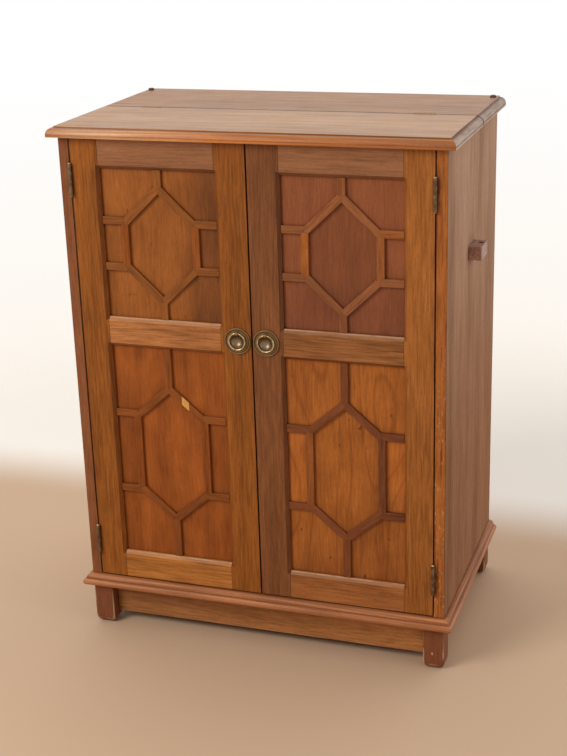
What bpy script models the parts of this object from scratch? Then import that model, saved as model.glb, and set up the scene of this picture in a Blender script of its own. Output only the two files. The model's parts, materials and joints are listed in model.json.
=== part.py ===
"""Bar cabinet with a fold-over top, two lattice doors and ring pulls.

Metres, +Z up. The doors face -Y and the cabinet stands on Z = 0, with the origin under the middle of its
outline. Every piece is one object. Moving pieces hang on empties that stand on their joints' axes.
"""

import math

import bmesh
import bpy
from mathutils import Matrix, Vector

# Carcass
CLEARANCE = 0.0003
BODY_WIDTH = 0.600
BODY_DEPTH = 0.370
TOTAL_HEIGHT = 0.842
SIDE_THICKNESS = 0.017
SIDE_ARRIS = 0.001
BACK_THICKNESS = 0.006
BACK_REBATE = 0.008
HOUSING_DEPTH = 0.006

# Moulded top and base
TOP_THICKNESS = 0.0158
MOULDING_OVERHANG = 0.0135
TOP_ARRIS_OVERHANG = 0.0035
TOP_QUIRK = 0.0020
TOP_QUIRK_LEDGE = 0.0008
TOP_FILLET = 0.0042
BASE_THICKNESS = 0.020
BASE_LEDGE = 0.0008
BASE_BEAD_RADIUS = 0.0062
BASE_QUIRK = 0.0008
CURVE_STEPS = 6
SMALL_ROUND = 20
SEAM_FROM_FRONT = 0.1828
SEAM_GAP = 0.0012
STUD_RADIUS = 0.005
STUD_HEIGHT = 0.003
STUD_BEVEL = 0.0013
STUD_FROM_SIDE = 0.004
STUD_FROM_BACK = 0.018

# Feet and plinth
FOOT_SIZE = 0.034
FOOT_HEIGHT = 0.072
FOOT_ARRIS = 0.0035
FOOT_TOE = 0.005
PLINTH_SETBACK = 0.0185
PLINTH_THICKNESS = 0.0152
PLINTH_BOTTOM = 0.016

# Inside
WELL_DEPTH = 0.150
WELL_FLOOR_THICKNESS = 0.012
WELL_FRONT_THICKNESS = 0.015
SEAM_RAIL_WIDTH = 0.024
SEAM_RAIL_HEIGHT = 0.030
SHELF_HEIGHT = 0.402
SHELF_THICKNESS = 0.014
SHELF_SETBACK = 0.012
CATCH_WIDTH = 0.076
CATCH_HEIGHT = 0.013
CATCH_DEPTH = 0.022
STRIKE_THICKNESS = 0.0015
STRIKE_WIDTH = 0.024
STRIKE_FROM_EDGE = 0.008

# Doors
DOOR_THICKNESS = 0.019
DOOR_GAP = 0.0015
DOOR_REVEAL = 0.002
MEETING_GAP = 0.0025
HINGE_STILE_FACE = 0.040
MEETING_STILE_FACE = 0.04375
TOP_RAIL_FACE = 0.040
MIDDLE_RAIL_FACE = 0.037
BOTTOM_RAIL_FACE = 0.041
UPPER_OPENING = 0.234
STICKING = 0.005
PANEL_RECESS = 0.009
PANEL_THICKNESS = 0.0054
GROOVE_DEPTH = 0.0065
TONGUE_SHOULDER = 0.004

# Lattice strips on the panels
LATTICE_BAR = 0.012
LATTICE_DEPTH = 0.0045
LATTICE_ARRIS = 0.0008
LATTICE_ARM = 0.0295
UPPER_STEM = 0.020
UPPER_RISE = 0.049
LOWER_STEM = 0.059
LOWER_RISE = 0.044

# Door hinges, lid hinges and what both share
DOOR_HINGE_LENGTH = 0.050
DOOR_HINGE_KNUCKLE = 0.0030
DOOR_HINGE_LEAF = 0.0193
DOOR_HINGE_PLATE = 0.0012
DOOR_HINGE_PIN = 0.0013
LID_HINGE_LENGTH = 0.032
LID_HINGE_KNUCKLE = 0.0014
LID_HINGE_LEAF = 0.0115
LID_HINGE_PLATE = 0.0009
LID_HINGE_PIN = 0.0006
HINGE_PLAY = 0.0004
HINGE_KNUCKLES = 5
HINGE_ROUND = 12
PIN_BUTTON = 0.0012
HINGE_FROM_END = 0.0385
LID_HINGE_FROM_SIDE = 0.076

# Ring pulls
PULL_RADIUS = 0.021
PULL_FROM_EDGE = 0.0008
PULL_PLATE = 0.0016
PULL_RIM = 0.0024
PULL_RIM_WIDTH = 0.0026
DISH_RADIUS = 0.0100
DISH_LIP = 0.0022
DISH_SINK = 0.0032
DISH_WALL = 0.0008
RING_RADIUS = 0.013
RING_WIRE = 0.0015
EYE_RADIUS = 0.0031
EYE_BORE = 0.0021
EYE_WIDTH = 0.0045
EYE_SINK = 0.0006
PULL_ROUND = 32
WIRE_ROUND = 10

# Lifting lugs
LUG_REACH = 0.0202
LUG_LENGTH = 0.045
LUG_HEIGHT = 0.021
LUG_FROM_FRONT = 0.148
LUG_FROM_FLOOR = 0.628
LUG_ARRIS = 0.002
LUG_HOLE_RADIUS = 0.005
LUG_HOLE_DEPTH = 0.004
LUG_HOLE_FROM_SIDE = 0.013
LUG_HOLE_FROM_END = 0.0155

# Levels and planes that several pieces share
FRONT = (MOULDING_OVERHANG - BODY_DEPTH) / 2
BACK = FRONT + BODY_DEPTH
HALF = BODY_WIDTH / 2
INNER = HALF - SIDE_THICKNESS
BASE_BOTTOM = FOOT_HEIGHT + CLEARANCE
BASE_TOP = BASE_BOTTOM + BASE_THICKNESS
SIDE_BOTTOM = BASE_TOP + CLEARANCE
LEAF_BOTTOM = TOTAL_HEIGHT - TOP_THICKNESS
SIDE_TOP = LEAF_BOTTOM - CLEARANCE
SEAM = FRONT + SEAM_FROM_FRONT
PANEL_BACK = BACK - BACK_THICKNESS - CLEARANCE
WELL_TOP = LEAF_BOTTOM - WELL_DEPTH
WELL_BOTTOM = WELL_TOP - WELL_FLOOR_THICKNESS
SHELF_TOP = SHELF_HEIGHT + SHELF_THICKNESS

DOOR_BACK = FRONT + DOOR_THICKNESS
DOOR_BOTTOM = BASE_TOP + DOOR_REVEAL
DOOR_TOP = LEAF_BOTTOM - DOOR_REVEAL
MEETING_EDGE = MEETING_GAP / 2
HINGE_EDGE = INNER - DOOR_GAP
OPENING_NEAR = MEETING_EDGE + MEETING_STILE_FACE + STICKING
OPENING_FAR = HINGE_EDGE - HINGE_STILE_FACE - STICKING
UPPER_TOP = DOOR_TOP - TOP_RAIL_FACE - STICKING
UPPER_BOTTOM = UPPER_TOP - UPPER_OPENING
LOWER_TOP = UPPER_BOTTOM - MIDDLE_RAIL_FACE - 2 * STICKING
LOWER_BOTTOM = DOOR_BOTTOM + BOTTOM_RAIL_FACE + STICKING
PANEL_FACE = FRONT + PANEL_RECESS
PANEL_REAR = PANEL_FACE + PANEL_THICKNESS
STRIKE_BACK = DOOR_BACK + CLEARANCE + STRIKE_THICKNESS
CATCH_TOP = WELL_BOTTOM - CLEARANCE

DOOR_HINGE = {
    "length": DOOR_HINGE_LENGTH,
    "knuckle": DOOR_HINGE_KNUCKLE,
    "leaf": DOOR_HINGE_LEAF,
    "plate": DOOR_HINGE_PLATE,
    "pin": DOOR_HINGE_PIN,
}
LID_HINGE = {
    "length": LID_HINGE_LENGTH,
    "knuckle": LID_HINGE_KNUCKLE,
    "leaf": LID_HINGE_LEAF,
    "plate": LID_HINGE_PLATE,
    "pin": LID_HINGE_PIN,
}
DOOR_AXIS_X = (HINGE_EDGE + INNER) / 2
DOOR_AXIS_Y = FRONT - DOOR_HINGE_KNUCKLE - CLEARANCE
LID_AXIS_Z = TOTAL_HEIGHT + CLEARANCE
LID_HINGE_X = HALF - LID_HINGE_FROM_SIDE
PULL_X = MEETING_EDGE + PULL_FROM_EDGE + PULL_RADIUS
PULL_Z = (UPPER_BOTTOM + LOWER_TOP) / 2
RING_AXIS_Y = FRONT - CLEARANCE - PULL_PLATE - EYE_RADIUS + EYE_SINK
RING_AXIS_Z = PULL_Z + RING_RADIUS
DISH_DEPTH = DISH_LIP + DISH_SINK
DISH_CURVE = (DISH_RADIUS**2 + DISH_DEPTH**2) / (2 * DISH_DEPTH)
DISH_CENTRE = DISH_CURVE - DISH_SINK
DISH_BACK = DISH_CURVE + DISH_WALL
DISH_HOLE = math.sqrt(DISH_BACK**2 - DISH_CENTRE**2) + CLEARANCE

HANDS = {"left": -1, "right": 1}
FINISHES = {
    "top": ((0.42, 0.24, 0.14), 0.38, 0.0),
    "moulding": ((0.36, 0.16, 0.06), 0.40, 0.0),
    "stile": ((0.30, 0.13, 0.05), 0.42, 0.0),
    "panel": ((0.34, 0.13, 0.05), 0.45, 0.0),
    "lattice": ((0.20, 0.08, 0.035), 0.45, 0.0),
    "side": ((0.27, 0.15, 0.09), 0.40, 0.0),
    "foot": ((0.13, 0.05, 0.025), 0.50, 0.0),
    "inside": ((0.40, 0.22, 0.11), 0.60, 0.0),
    "brass": ((0.32, 0.20, 0.08), 0.35, 1.0),
    "steel": ((0.45, 0.43, 0.40), 0.40, 1.0),
    "stud": ((0.04, 0.03, 0.025), 0.60, 0.0),
}


def clear_scene():
    for obj in list(bpy.data.objects):
        bpy.data.objects.remove(obj, do_unlink=True)


def finish_material(name, finish):
    colour, roughness, metallic = FINISHES[finish]
    material = bpy.data.materials.new(name)
    material.use_nodes = True
    shader = material.node_tree.nodes["Principled BSDF"]
    shader.inputs["Base Color"].default_value = (*colour, 1.0)
    shader.inputs["Roughness"].default_value = roughness
    shader.inputs["Metallic"].default_value = metallic
    return material


def place_in_world(obj):
    """An object's place, summed up its parents, none of which is turned."""
    place = obj.location.copy()
    while obj.parent:
        obj = obj.parent
        place += obj.location
    return place


def empty(name, place, parent=None):
    obj = bpy.data.objects.new(name, None)
    bpy.context.collection.objects.link(obj)
    obj.parent = parent
    obj.location = Vector(place) - (place_in_world(parent) if parent else Vector())
    return obj


def add_object(name, shape, parent, origin=None):
    """The object of a bmesh in cabinet coordinates, with its origin at its middle unless one is given."""
    if origin is None:
        lows = [min(vert.co[axis] for vert in shape.verts) for axis in range(3)]
        highs = [max(vert.co[axis] for vert in shape.verts) for axis in range(3)]
        origin = (Vector(lows) + Vector(highs)) / 2
    shape.transform(Matrix.Translation(-Vector(origin)))
    mesh = bpy.data.meshes.new(name)
    shape.to_mesh(mesh)
    shape.free()
    obj = bpy.data.objects.new(name, mesh)
    bpy.context.collection.objects.link(obj)
    obj.parent = parent
    obj.location = Vector(origin) - place_in_world(parent)
    return obj


def add_piece(name, shape, parent, finish, cuts=(), joins=(), origin=None, smooth=False):
    """A sub-part: its shape, then the shapes joined to it, then those cut from it."""
    piece = add_object(name, shape, parent, origin)
    piece.data.materials.append(finish_material(name, finish))
    for operation, helpers in (("UNION", joins), ("DIFFERENCE", cuts)):
        for number, helper in enumerate(helpers, 1):
            guide = add_object(f"{name}_{operation.lower()}_{number}", helper, piece)
            guide.hide_render = True
            guide.display_type = "WIRE"
            boolean = piece.modifiers.new(guide.name, "BOOLEAN")
            boolean.operation = operation
            boolean.solver = "EXACT"
            boolean.object = guide
    if smooth:
        piece.data.shade_smooth()
        piece.data.set_sharp_from_angle(angle=math.radians(35))
    return piece


def box(low, high):
    shape = bmesh.new()
    bmesh.ops.create_cube(shape, size=1)
    size = Vector(high) - Vector(low)
    bmesh.ops.scale(shape, vec=size, verts=shape.verts)
    bmesh.ops.translate(shape, vec=Vector(low) + size / 2, verts=shape.verts)
    return shape


def merged(*shapes):
    """One bmesh of several closed shapes that don't touch."""
    whole = bmesh.new()
    for shape in shapes:
        part = bpy.data.meshes.new("part")
        shape.to_mesh(part)
        shape.free()
        whole.from_mesh(part)
        bpy.data.meshes.remove(part)
    return whole


def handed(shape, hand):
    """A right-hand shape, mirrored across X for the left hand."""
    if hand < 0:
        bmesh.ops.scale(shape, vec=(-1, 1, 1), verts=shape.verts)
        bmesh.ops.reverse_faces(shape, faces=shape.faces)
    return shape


def handed_all(shapes, hand):
    return [handed(shape, hand) for shape in shapes]


def turned(profile, steps, start, direction):
    """A profile of (radius, height) turned about the line from start along direction. It ends on the axis."""
    shape = bmesh.new()
    verts = [shape.verts.new((radius, 0, height)) for radius, height in profile]
    edges = [shape.edges.new(pair) for pair in zip(verts, verts[1:])]
    bmesh.ops.spin(
        shape,
        geom=verts + edges,
        cent=(0, 0, 0),
        axis=(0, 0, 1),
        angle=math.tau,
        steps=steps,
        use_merge=True,
    )
    bmesh.ops.remove_doubles(shape, verts=shape.verts, dist=1e-6)
    bmesh.ops.recalc_face_normals(shape, faces=shape.faces)
    turn = Vector((0, 0, 1)).rotation_difference(Vector(direction)).to_matrix().to_4x4()
    shape.transform(Matrix.Translation(Vector(start)) @ turn)
    return shape


def rod(start, end, radius, steps):
    length = (Vector(end) - Vector(start)).length
    profile = [(0, 0), (radius, 0), (radius, length), (0, length)]
    return turned(profile, steps, start, Vector(end) - Vector(start))


def bevelled(shape, edges, width, segments):
    bmesh.ops.bevel(
        shape,
        geom=edges,
        offset=width,
        offset_type="OFFSET",
        segments=segments,
        profile=0.5,
        affect="EDGES",
        clamp_overlap=True,
        material=-1,
    )
    return shape


def edges_along(shape, axis, test=lambda middle: True):
    """The edges parallel to an axis whose middles pass the test."""
    found = []
    for edge in shape.edges:
        along = (edge.verts[1].co - edge.verts[0].co).normalized()
        middle = (edge.verts[0].co + edge.verts[1].co) / 2
        if abs(along[axis]) > 0.999 and test(middle):
            found.append(edge)
    return found


def moulded_board(front, back, profile):
    """A board as wide as the body, its front and sides moulded to a profile of (overhang, height), mitred."""
    shape = bmesh.new()
    loops = []
    for reach, height in profile:
        corners = (
            (-HALF - reach, front - reach),
            (HALF + reach, front - reach),
            (HALF + reach, back),
            (-HALF - reach, back),
        )
        loops.append([shape.verts.new((x, y, height)) for x, y in corners])
    for upper, lower in zip(loops, loops[1:]):
        for one, two in ((0, 1), (1, 2), (3, 0)):
            shape.faces.new((upper[one], upper[two], lower[two], lower[one]))
    shape.faces.new(loops[0])
    shape.faces.new(loops[-1])
    shape.faces.new([loop[2] for loop in loops] + [loop[3] for loop in reversed(loops)])
    bmesh.ops.recalc_face_normals(shape, faces=shape.faces)
    return shape


def quarter(centre, width, height):
    """Points of a convex quarter ellipse, from its top to its outermost point."""
    turns = [step / CURVE_STEPS * math.pi / 2 for step in range(CURVE_STEPS + 1)]
    return [(centre[0] + width * math.sin(turn), centre[1] + height * math.cos(turn)) for turn in turns]


def top_profile():
    ledge = TOP_ARRIS_OVERHANG + TOP_QUIRK_LEDGE
    quirk = TOTAL_HEIGHT - TOP_QUIRK
    fillet = LEAF_BOTTOM + TOP_FILLET
    curve = quarter((ledge, fillet), MOULDING_OVERHANG - ledge, quirk - fillet)
    return [
        (TOP_ARRIS_OVERHANG, TOTAL_HEIGHT),
        (TOP_ARRIS_OVERHANG, quirk),
        *curve,
        (MOULDING_OVERHANG, LEAF_BOTTOM),
    ]


def base_profile():
    bead = (MOULDING_OVERHANG - BASE_BEAD_RADIUS, BASE_BOTTOM + BASE_BEAD_RADIUS)
    shoulder = bead[1] + BASE_BEAD_RADIUS
    curve = quarter((BASE_LEDGE, shoulder), bead[0] + BASE_QUIRK - BASE_LEDGE, BASE_TOP - shoulder)
    half_turns = [step / CURVE_STEPS * math.pi for step in range(CURVE_STEPS + 1)]
    nose = [
        (bead[0] + BASE_BEAD_RADIUS * math.sin(turn), bead[1] + BASE_BEAD_RADIUS * math.cos(turn))
        for turn in half_turns
    ]
    return [*curve, *nose]


def well_and_shelf_sizes():
    """Bottom, top and front of the two boards that are housed in the sides."""
    return {
        "well_floor": (WELL_BOTTOM, WELL_TOP, DOOR_BACK + CLEARANCE),
        "shelf": (SHELF_HEIGHT, SHELF_TOP, DOOR_BACK + SHELF_SETBACK),
    }


def door_hinge_heights():
    half = DOOR_HINGE_LENGTH / 2
    return {
        "upper": DOOR_TOP - HINGE_FROM_END - half,
        "lower": DOOR_BOTTOM + HINGE_FROM_END + half,
    }


def hinge_mortise(size):
    """A hinge's pocket depth, width and length, from the middle of its joint."""
    return (
        HINGE_PLAY / 2 + size["plate"] + CLEARANCE,
        size["leaf"] + CLEARANCE,
        size["length"] / 2 + CLEARANCE,
    )


def door_mortises(outward):
    """The pockets for one door's hinges, in the side (outward 1) or in the door's edge (outward -1)."""
    depth, width, half = hinge_mortise(DOOR_HINGE)
    ends = sorted((DOOR_AXIS_X, DOOR_AXIS_X + outward * depth))
    return merged(
        *(
            box((ends[0], DOOR_AXIS_Y, height - half), (ends[1], DOOR_AXIS_Y + width, height + half))
            for height in door_hinge_heights().values()
        )
    )


def make_sides(carcass):
    for hand_name, hand in HANDS.items():
        board = box((INNER, FRONT, SIDE_BOTTOM), (HALF, BACK, SIDE_TOP))
        front_arris = edges_along(board, 2, lambda middle: middle.y < 0)
        bevelled(board, front_arris, SIDE_ARRIS, 2)
        housings = [
            box(
                (INNER - CLEARANCE, front - CLEARANCE, bottom - CLEARANCE),
                (INNER + HOUSING_DEPTH, BACK + CLEARANCE, top + CLEARANCE),
            )
            for bottom, top, front in well_and_shelf_sizes().values()
        ]
        rebate = box(
            (INNER - CLEARANCE, PANEL_BACK, SIDE_BOTTOM - CLEARANCE),
            (INNER + BACK_REBATE, BACK + CLEARANCE, SIDE_TOP + CLEARANCE),
        )
        cuts = [merged(*housings), rebate, door_mortises(1)]
        add_piece(
            f"{hand_name}_side", handed(board, hand), carcass, "side", cuts=handed_all(cuts, hand)
        )


def make_base(carcass):
    add_piece("base_board", moulded_board(FRONT, BACK, base_profile()), carcass, "moulding")


def make_plinth(carcass):
    ends = {"front": (FRONT, 1), "rear": (BACK, -1)}
    for end_name, (face, inward) in ends.items():
        for hand_name, hand in HANDS.items():
            sides = sorted((face, face + inward * FOOT_SIZE))
            foot = box((HALF - FOOT_SIZE, sides[0], 0), (HALF, sides[1], FOOT_HEIGHT))
            bevelled(foot, edges_along(foot, 2), FOOT_ARRIS, 3)
            toe = [edge for edge in foot.edges if max(vert.co.z for vert in edge.verts) < CLEARANCE]
            bevelled(foot, toe, FOOT_TOE, 3)
            add_piece(f"{end_name}_{hand_name}_foot", handed(foot, hand), carcass, "foot")
    inset = PLINTH_SETBACK + PLINTH_THICKNESS
    long_end = HALF - FOOT_SIZE - CLEARANCE
    rails = {
        "front": (FRONT + PLINTH_SETBACK, FRONT + inset),
        "back": (BACK - inset, BACK - PLINTH_SETBACK),
    }
    for name, (near, far) in rails.items():
        rail = box((-long_end, near, PLINTH_BOTTOM), (long_end, far, FOOT_HEIGHT))
        add_piece(f"{name}_plinth_rail", rail, carcass, "foot")
    corner = max(FOOT_SIZE, inset) + CLEARANCE
    for hand_name, hand in HANDS.items():
        rail = box(
            (HALF - inset, FRONT + corner, PLINTH_BOTTOM),
            (HALF - PLINTH_SETBACK, BACK - corner, FOOT_HEIGHT),
        )
        add_piece(f"{hand_name}_plinth_rail", handed(rail, hand), carcass, "foot")


def make_inside(carcass):
    panel_half = INNER + BACK_REBATE - CLEARANCE
    panel = box((-panel_half, PANEL_BACK + CLEARANCE, SIDE_BOTTOM), (panel_half, BACK, SIDE_TOP))
    add_piece("back_panel", panel, carcass, "inside")
    board_half = INNER + HOUSING_DEPTH - CLEARANCE
    for name, (bottom, top, front) in well_and_shelf_sizes().items():
        board = box((-board_half, front, bottom), (board_half, PANEL_BACK, top))
        add_piece(name, board, carcass, "inside")
    between = INNER - CLEARANCE
    front_low = DOOR_BACK + CLEARANCE
    front_board = box(
        (-between, front_low, WELL_TOP + CLEARANCE),
        (between, front_low + WELL_FRONT_THICKNESS, SIDE_TOP),
    )
    add_piece("well_front", front_board, carcass, "inside")
    rail = box(
        (-between, SEAM + SEAM_GAP, SIDE_TOP - SEAM_RAIL_HEIGHT),
        (between, SEAM + SEAM_GAP + SEAM_RAIL_WIDTH, SIDE_TOP),
    )
    add_piece("seam_rail", rail, carcass, "inside")
    catch_front = STRIKE_BACK + CLEARANCE
    catch = box(
        (-CATCH_WIDTH / 2, catch_front, CATCH_TOP - CATCH_HEIGHT),
        (CATCH_WIDTH / 2, catch_front + CATCH_DEPTH, CATCH_TOP),
    )
    bevelled(catch, edges_along(catch, 1), SIDE_ARRIS, 2)
    add_piece("magnetic_catch", catch, carcass, "steel")


def make_lugs(carcass):
    for hand_name, hand in HANDS.items():
        low = Vector((HALF + CLEARANCE, FRONT + LUG_FROM_FRONT, LUG_FROM_FLOOR))
        high = low + Vector((LUG_REACH, LUG_LENGTH, LUG_HEIGHT))
        lug = box(low, high)
        outer = edges_along(lug, 2, lambda middle: middle.x > HALF + LUG_REACH / 2)
        bevelled(lug, outer, LUG_ARRIS, 3)
        hole_end = (HALF + LUG_HOLE_FROM_SIDE, high.y - LUG_HOLE_FROM_END, high.z + LUG_HOLE_DEPTH)
        hole_start = (*hole_end[:2], high.z - LUG_HOLE_DEPTH)
        hole = rod(hole_start, hole_end, LUG_HOLE_RADIUS, SMALL_ROUND)
        add_piece(
            f"{hand_name}_lug", handed(lug, hand), carcass, "side", cuts=handed_all([hole], hand)
        )


def leaf_cuts(towards):
    """Pockets and knuckle grooves for the lid's hinges, in the leaf on one side of the seam."""
    depth, width, half = hinge_mortise(LID_HINGE)
    sides = sorted((SEAM, SEAM + towards * depth))
    pockets = []
    grooves = []
    for place in (-LID_HINGE_X, LID_HINGE_X):
        pockets.append(
            box((place - half, sides[0], LID_AXIS_Z - width), (place + half, sides[1], LID_AXIS_Z))
        )
        reach = half + PIN_BUTTON
        start = (place - reach, SEAM, LID_AXIS_Z)
        end = (place + reach, SEAM, LID_AXIS_Z)
        grooves.append(rod(start, end, LID_HINGE_KNUCKLE + HINGE_PLAY, HINGE_ROUND))
    return [merged(*pockets), merged(*grooves)]


def make_top(carcass, lid):
    half_gap = SEAM_GAP / 2
    leaf = moulded_board(FRONT, SEAM - half_gap, top_profile())
    add_piece("lid_leaf", leaf, lid, "top", cuts=leaf_cuts(-1))
    # The rear leaf has no moulded front, so its profile is cut off square at the seam.
    leaf = moulded_board(SEAM, BACK, top_profile())
    bmesh.ops.bisect_plane(
        leaf,
        geom=leaf.verts[:] + leaf.edges[:] + leaf.faces[:],
        plane_co=(0, SEAM + half_gap, 0),
        plane_no=(0, -1, 0),
        clear_outer=True,
    )
    bmesh.ops.holes_fill(leaf, edges=[edge for edge in leaf.edges if edge.is_boundary])
    bmesh.ops.recalc_face_normals(leaf, faces=leaf.faces)
    add_piece("rear_top_leaf", leaf, carcass, "top", cuts=leaf_cuts(1))
    for hand_name, hand in HANDS.items():
        profile = [
            (0, 0),
            (STUD_RADIUS, 0),
            (STUD_RADIUS, STUD_HEIGHT - STUD_BEVEL),
            (STUD_RADIUS - STUD_BEVEL, STUD_HEIGHT),
            (0, STUD_HEIGHT),
        ]
        foot = (HALF - STUD_FROM_SIDE, BACK - STUD_FROM_BACK, TOTAL_HEIGHT + CLEARANCE)
        stud = turned(profile, SMALL_ROUND, foot, (0, 0, 1))
        add_piece(f"{hand_name}_lid_stud", handed(stud, hand), carcass, "stud", smooth=True)


def hinge_leaf(size, fixed):
    """The plate of one leaf, what joins it and what is cut from it, about a joint at the origin.

    The axis runs along Z, the leaf lies at +Y and its member at +X. The fixed leaf holds the pin.
    """
    near = HINGE_PLAY / 2
    far = near + size["plate"]
    clear = size["knuckle"] + CLEARANCE
    half = size["length"] / 2
    step = size["length"] / HINGE_KNUCKLES
    knuckles = []
    webs = []
    for number in range(HINGE_KNUCKLES):
        if (number % 2 == 0) != fixed:
            continue
        low = -half + number * step + (CLEARANCE / 2 if number else 0)
        high = -half + (number + 1) * step - (CLEARANCE / 2 if number < HINGE_KNUCKLES - 1 else 0)
        knuckles.append(rod((0, 0, low), (0, 0, high), size["knuckle"], HINGE_ROUND))
        webs.append(box((near, 0, low), (far, clear + size["plate"], high)))
    plate = box((near, clear, -half), (far, size["leaf"], half))
    joins = [merged(*webs), merged(*knuckles)]
    if fixed:
        end = half + PIN_BUTTON
        head = (size["pin"] + size["knuckle"]) / 2
        profile = [
            (0, -end),
            (size["pin"], -end),
            (head, -end + PIN_BUTTON / 2),
            (head, -half + PIN_BUTTON),
            (size["pin"], -half + PIN_BUTTON),
            (size["pin"], half - PIN_BUTTON),
            (head, half - PIN_BUTTON),
            (head, end - PIN_BUTTON / 2),
            (size["pin"], end),
            (0, end),
        ]
        joins.append(turned(profile, HINGE_ROUND, (0, 0, 0), (0, 0, 1)))
        return plate, joins, []
    bore = size["pin"] + CLEARANCE
    return plate, joins, [rod((0, 0, -half - step), (0, 0, half + step), bore, HINGE_ROUND)]


def add_hinge_leaf(name, size, fixed, place, parent, hand):
    """A leaf set at its place. The matrix takes the leaf's own axes to the cabinet's, for the right hand."""
    plate, joins, cuts = hinge_leaf(size, fixed)
    for shape in (plate, *joins, *cuts):
        shape.transform(place)
        if place.determinant() < 0:
            bmesh.ops.reverse_faces(shape, faces=shape.faces)
        handed(shape, hand)
    add_piece(name, plate, parent, "brass", joins=joins, cuts=cuts, smooth=True)


def make_hinges(carcass, lid, doors):
    for hand_name, hand in HANDS.items():
        for level, height in door_hinge_heights().items():
            axis = Matrix.Translation((DOOR_AXIS_X, DOOR_AXIS_Y, height))
            flipped = axis @ Matrix.Diagonal((-1, 1, 1, 1))
            name = f"{hand_name}_{level}_hinge"
            add_hinge_leaf(f"{name}_side_leaf", DOOR_HINGE, True, axis, carcass, hand)
            add_hinge_leaf(f"{name}_door_leaf", DOOR_HINGE, False, flipped, doors[hand_name], hand)
        # On the lid the axis runs along X, the leaves hang down and the one on the rear leaf is fixed.
        laid = Matrix(((0, 0, 1), (1, 0, 0), (0, -1, 0))).to_4x4()
        axis = Matrix.Translation((LID_HINGE_X, SEAM, LID_AXIS_Z)) @ laid
        flipped = axis @ Matrix.Diagonal((-1, 1, 1, 1))
        name = f"{hand_name}_lid_hinge"
        add_hinge_leaf(f"{name}_rear_leaf", LID_HINGE, True, axis, carcass, hand)
        add_hinge_leaf(f"{name}_front_leaf", LID_HINGE, False, flipped, lid, hand)


def sticking_cutter(bottom, top):
    """A frustum that chamfers the frame round one opening, with mitred corners."""
    shape = bmesh.new()
    loops = []
    for depth in (-STICKING / 2, STICKING * 1.5):
        grow = STICKING - depth
        x_low, x_high = OPENING_NEAR - grow, OPENING_FAR + grow
        z_low, z_high = bottom - grow, top + grow
        corners = ((x_low, z_low), (x_high, z_low), (x_high, z_high), (x_low, z_high))
        loops.append([shape.verts.new((x, FRONT + depth, z)) for x, z in corners])
    for one in range(4):
        two = (one + 1) % 4
        shape.faces.new((loops[0][one], loops[0][two], loops[1][two], loops[1][one]))
    for loop in loops:
        shape.faces.new(loop)
    bmesh.ops.recalc_face_normals(shape, faces=shape.faces)
    return shape


def make_stiles(hand_name, hand, door):
    groove_low = PANEL_FACE - CLEARANCE
    groove_high = PANEL_REAR + CLEARANCE
    past = 2 * CLEARANCE
    stiles = {
        "hinge": (OPENING_FAR, HINGE_EDGE, OPENING_FAR - past, OPENING_FAR + GROOVE_DEPTH),
        "meeting": (MEETING_EDGE, OPENING_NEAR, OPENING_NEAR - GROOVE_DEPTH, OPENING_NEAR + past),
    }
    for name, (near, far, groove_near, groove_far) in stiles.items():
        stile = box((near, FRONT, DOOR_BOTTOM), (far, DOOR_BACK, DOOR_TOP))
        groove = box(
            (groove_near, groove_low, DOOR_BOTTOM - past),
            (groove_far, groove_high, DOOR_TOP + past),
        )
        cuts = [
            groove,
            sticking_cutter(UPPER_BOTTOM, UPPER_TOP),
            sticking_cutter(LOWER_BOTTOM, LOWER_TOP),
        ]
        if name == "hinge":
            cuts.append(door_mortises(-1))
        else:
            bottom = FRONT + DISH_SINK + DISH_WALL
            cuts.append(rod((PULL_X, FRONT - past, PULL_Z), (PULL_X, bottom, PULL_Z), DISH_HOLE, PULL_ROUND))
        add_piece(
            f"{hand_name}_{name}_stile", handed(stile, hand), door, "stile", cuts=handed_all(cuts, hand)
        )


def make_rails(hand_name, hand, door):
    groove_low = PANEL_FACE - CLEARANCE
    groove_high = PANEL_REAR + CLEARANCE
    past = 2 * CLEARANCE
    rails = {
        "top": (UPPER_TOP, DOOR_TOP, [(UPPER_BOTTOM, UPPER_TOP)]),
        "middle": (LOWER_TOP, UPPER_BOTTOM, [(UPPER_BOTTOM, UPPER_TOP), (LOWER_BOTTOM, LOWER_TOP)]),
        "bottom": (DOOR_BOTTOM, LOWER_BOTTOM, [(LOWER_BOTTOM, LOWER_TOP)]),
    }
    reach = GROOVE_DEPTH - CLEARANCE
    for name, (bottom, top, openings) in rails.items():
        rail = box(
            (OPENING_NEAR + CLEARANCE, FRONT, bottom), (OPENING_FAR - CLEARANCE, DOOR_BACK, top)
        )
        tongue = box(
            (OPENING_NEAR - reach, PANEL_FACE, bottom + TONGUE_SHOULDER),
            (OPENING_FAR + reach, PANEL_REAR, top - TONGUE_SHOULDER),
        )
        cuts = []
        for low, high in openings:
            edge, inward = (high, 1) if high == bottom else (low, -1)
            ends = sorted((edge - inward * past, edge + inward * GROOVE_DEPTH))
            cuts.append(
                box(
                    (OPENING_NEAR - 2 * reach, groove_low, ends[0]),
                    (OPENING_FAR + 2 * reach, groove_high, ends[1]),
                )
            )
            cuts.append(sticking_cutter(low, high))
        add_piece(
            f"{hand_name}_{name}_rail",
            handed(rail, hand),
            door,
            "stile",
            joins=handed_all([tongue], hand),
            cuts=handed_all(cuts, hand),
        )


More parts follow.
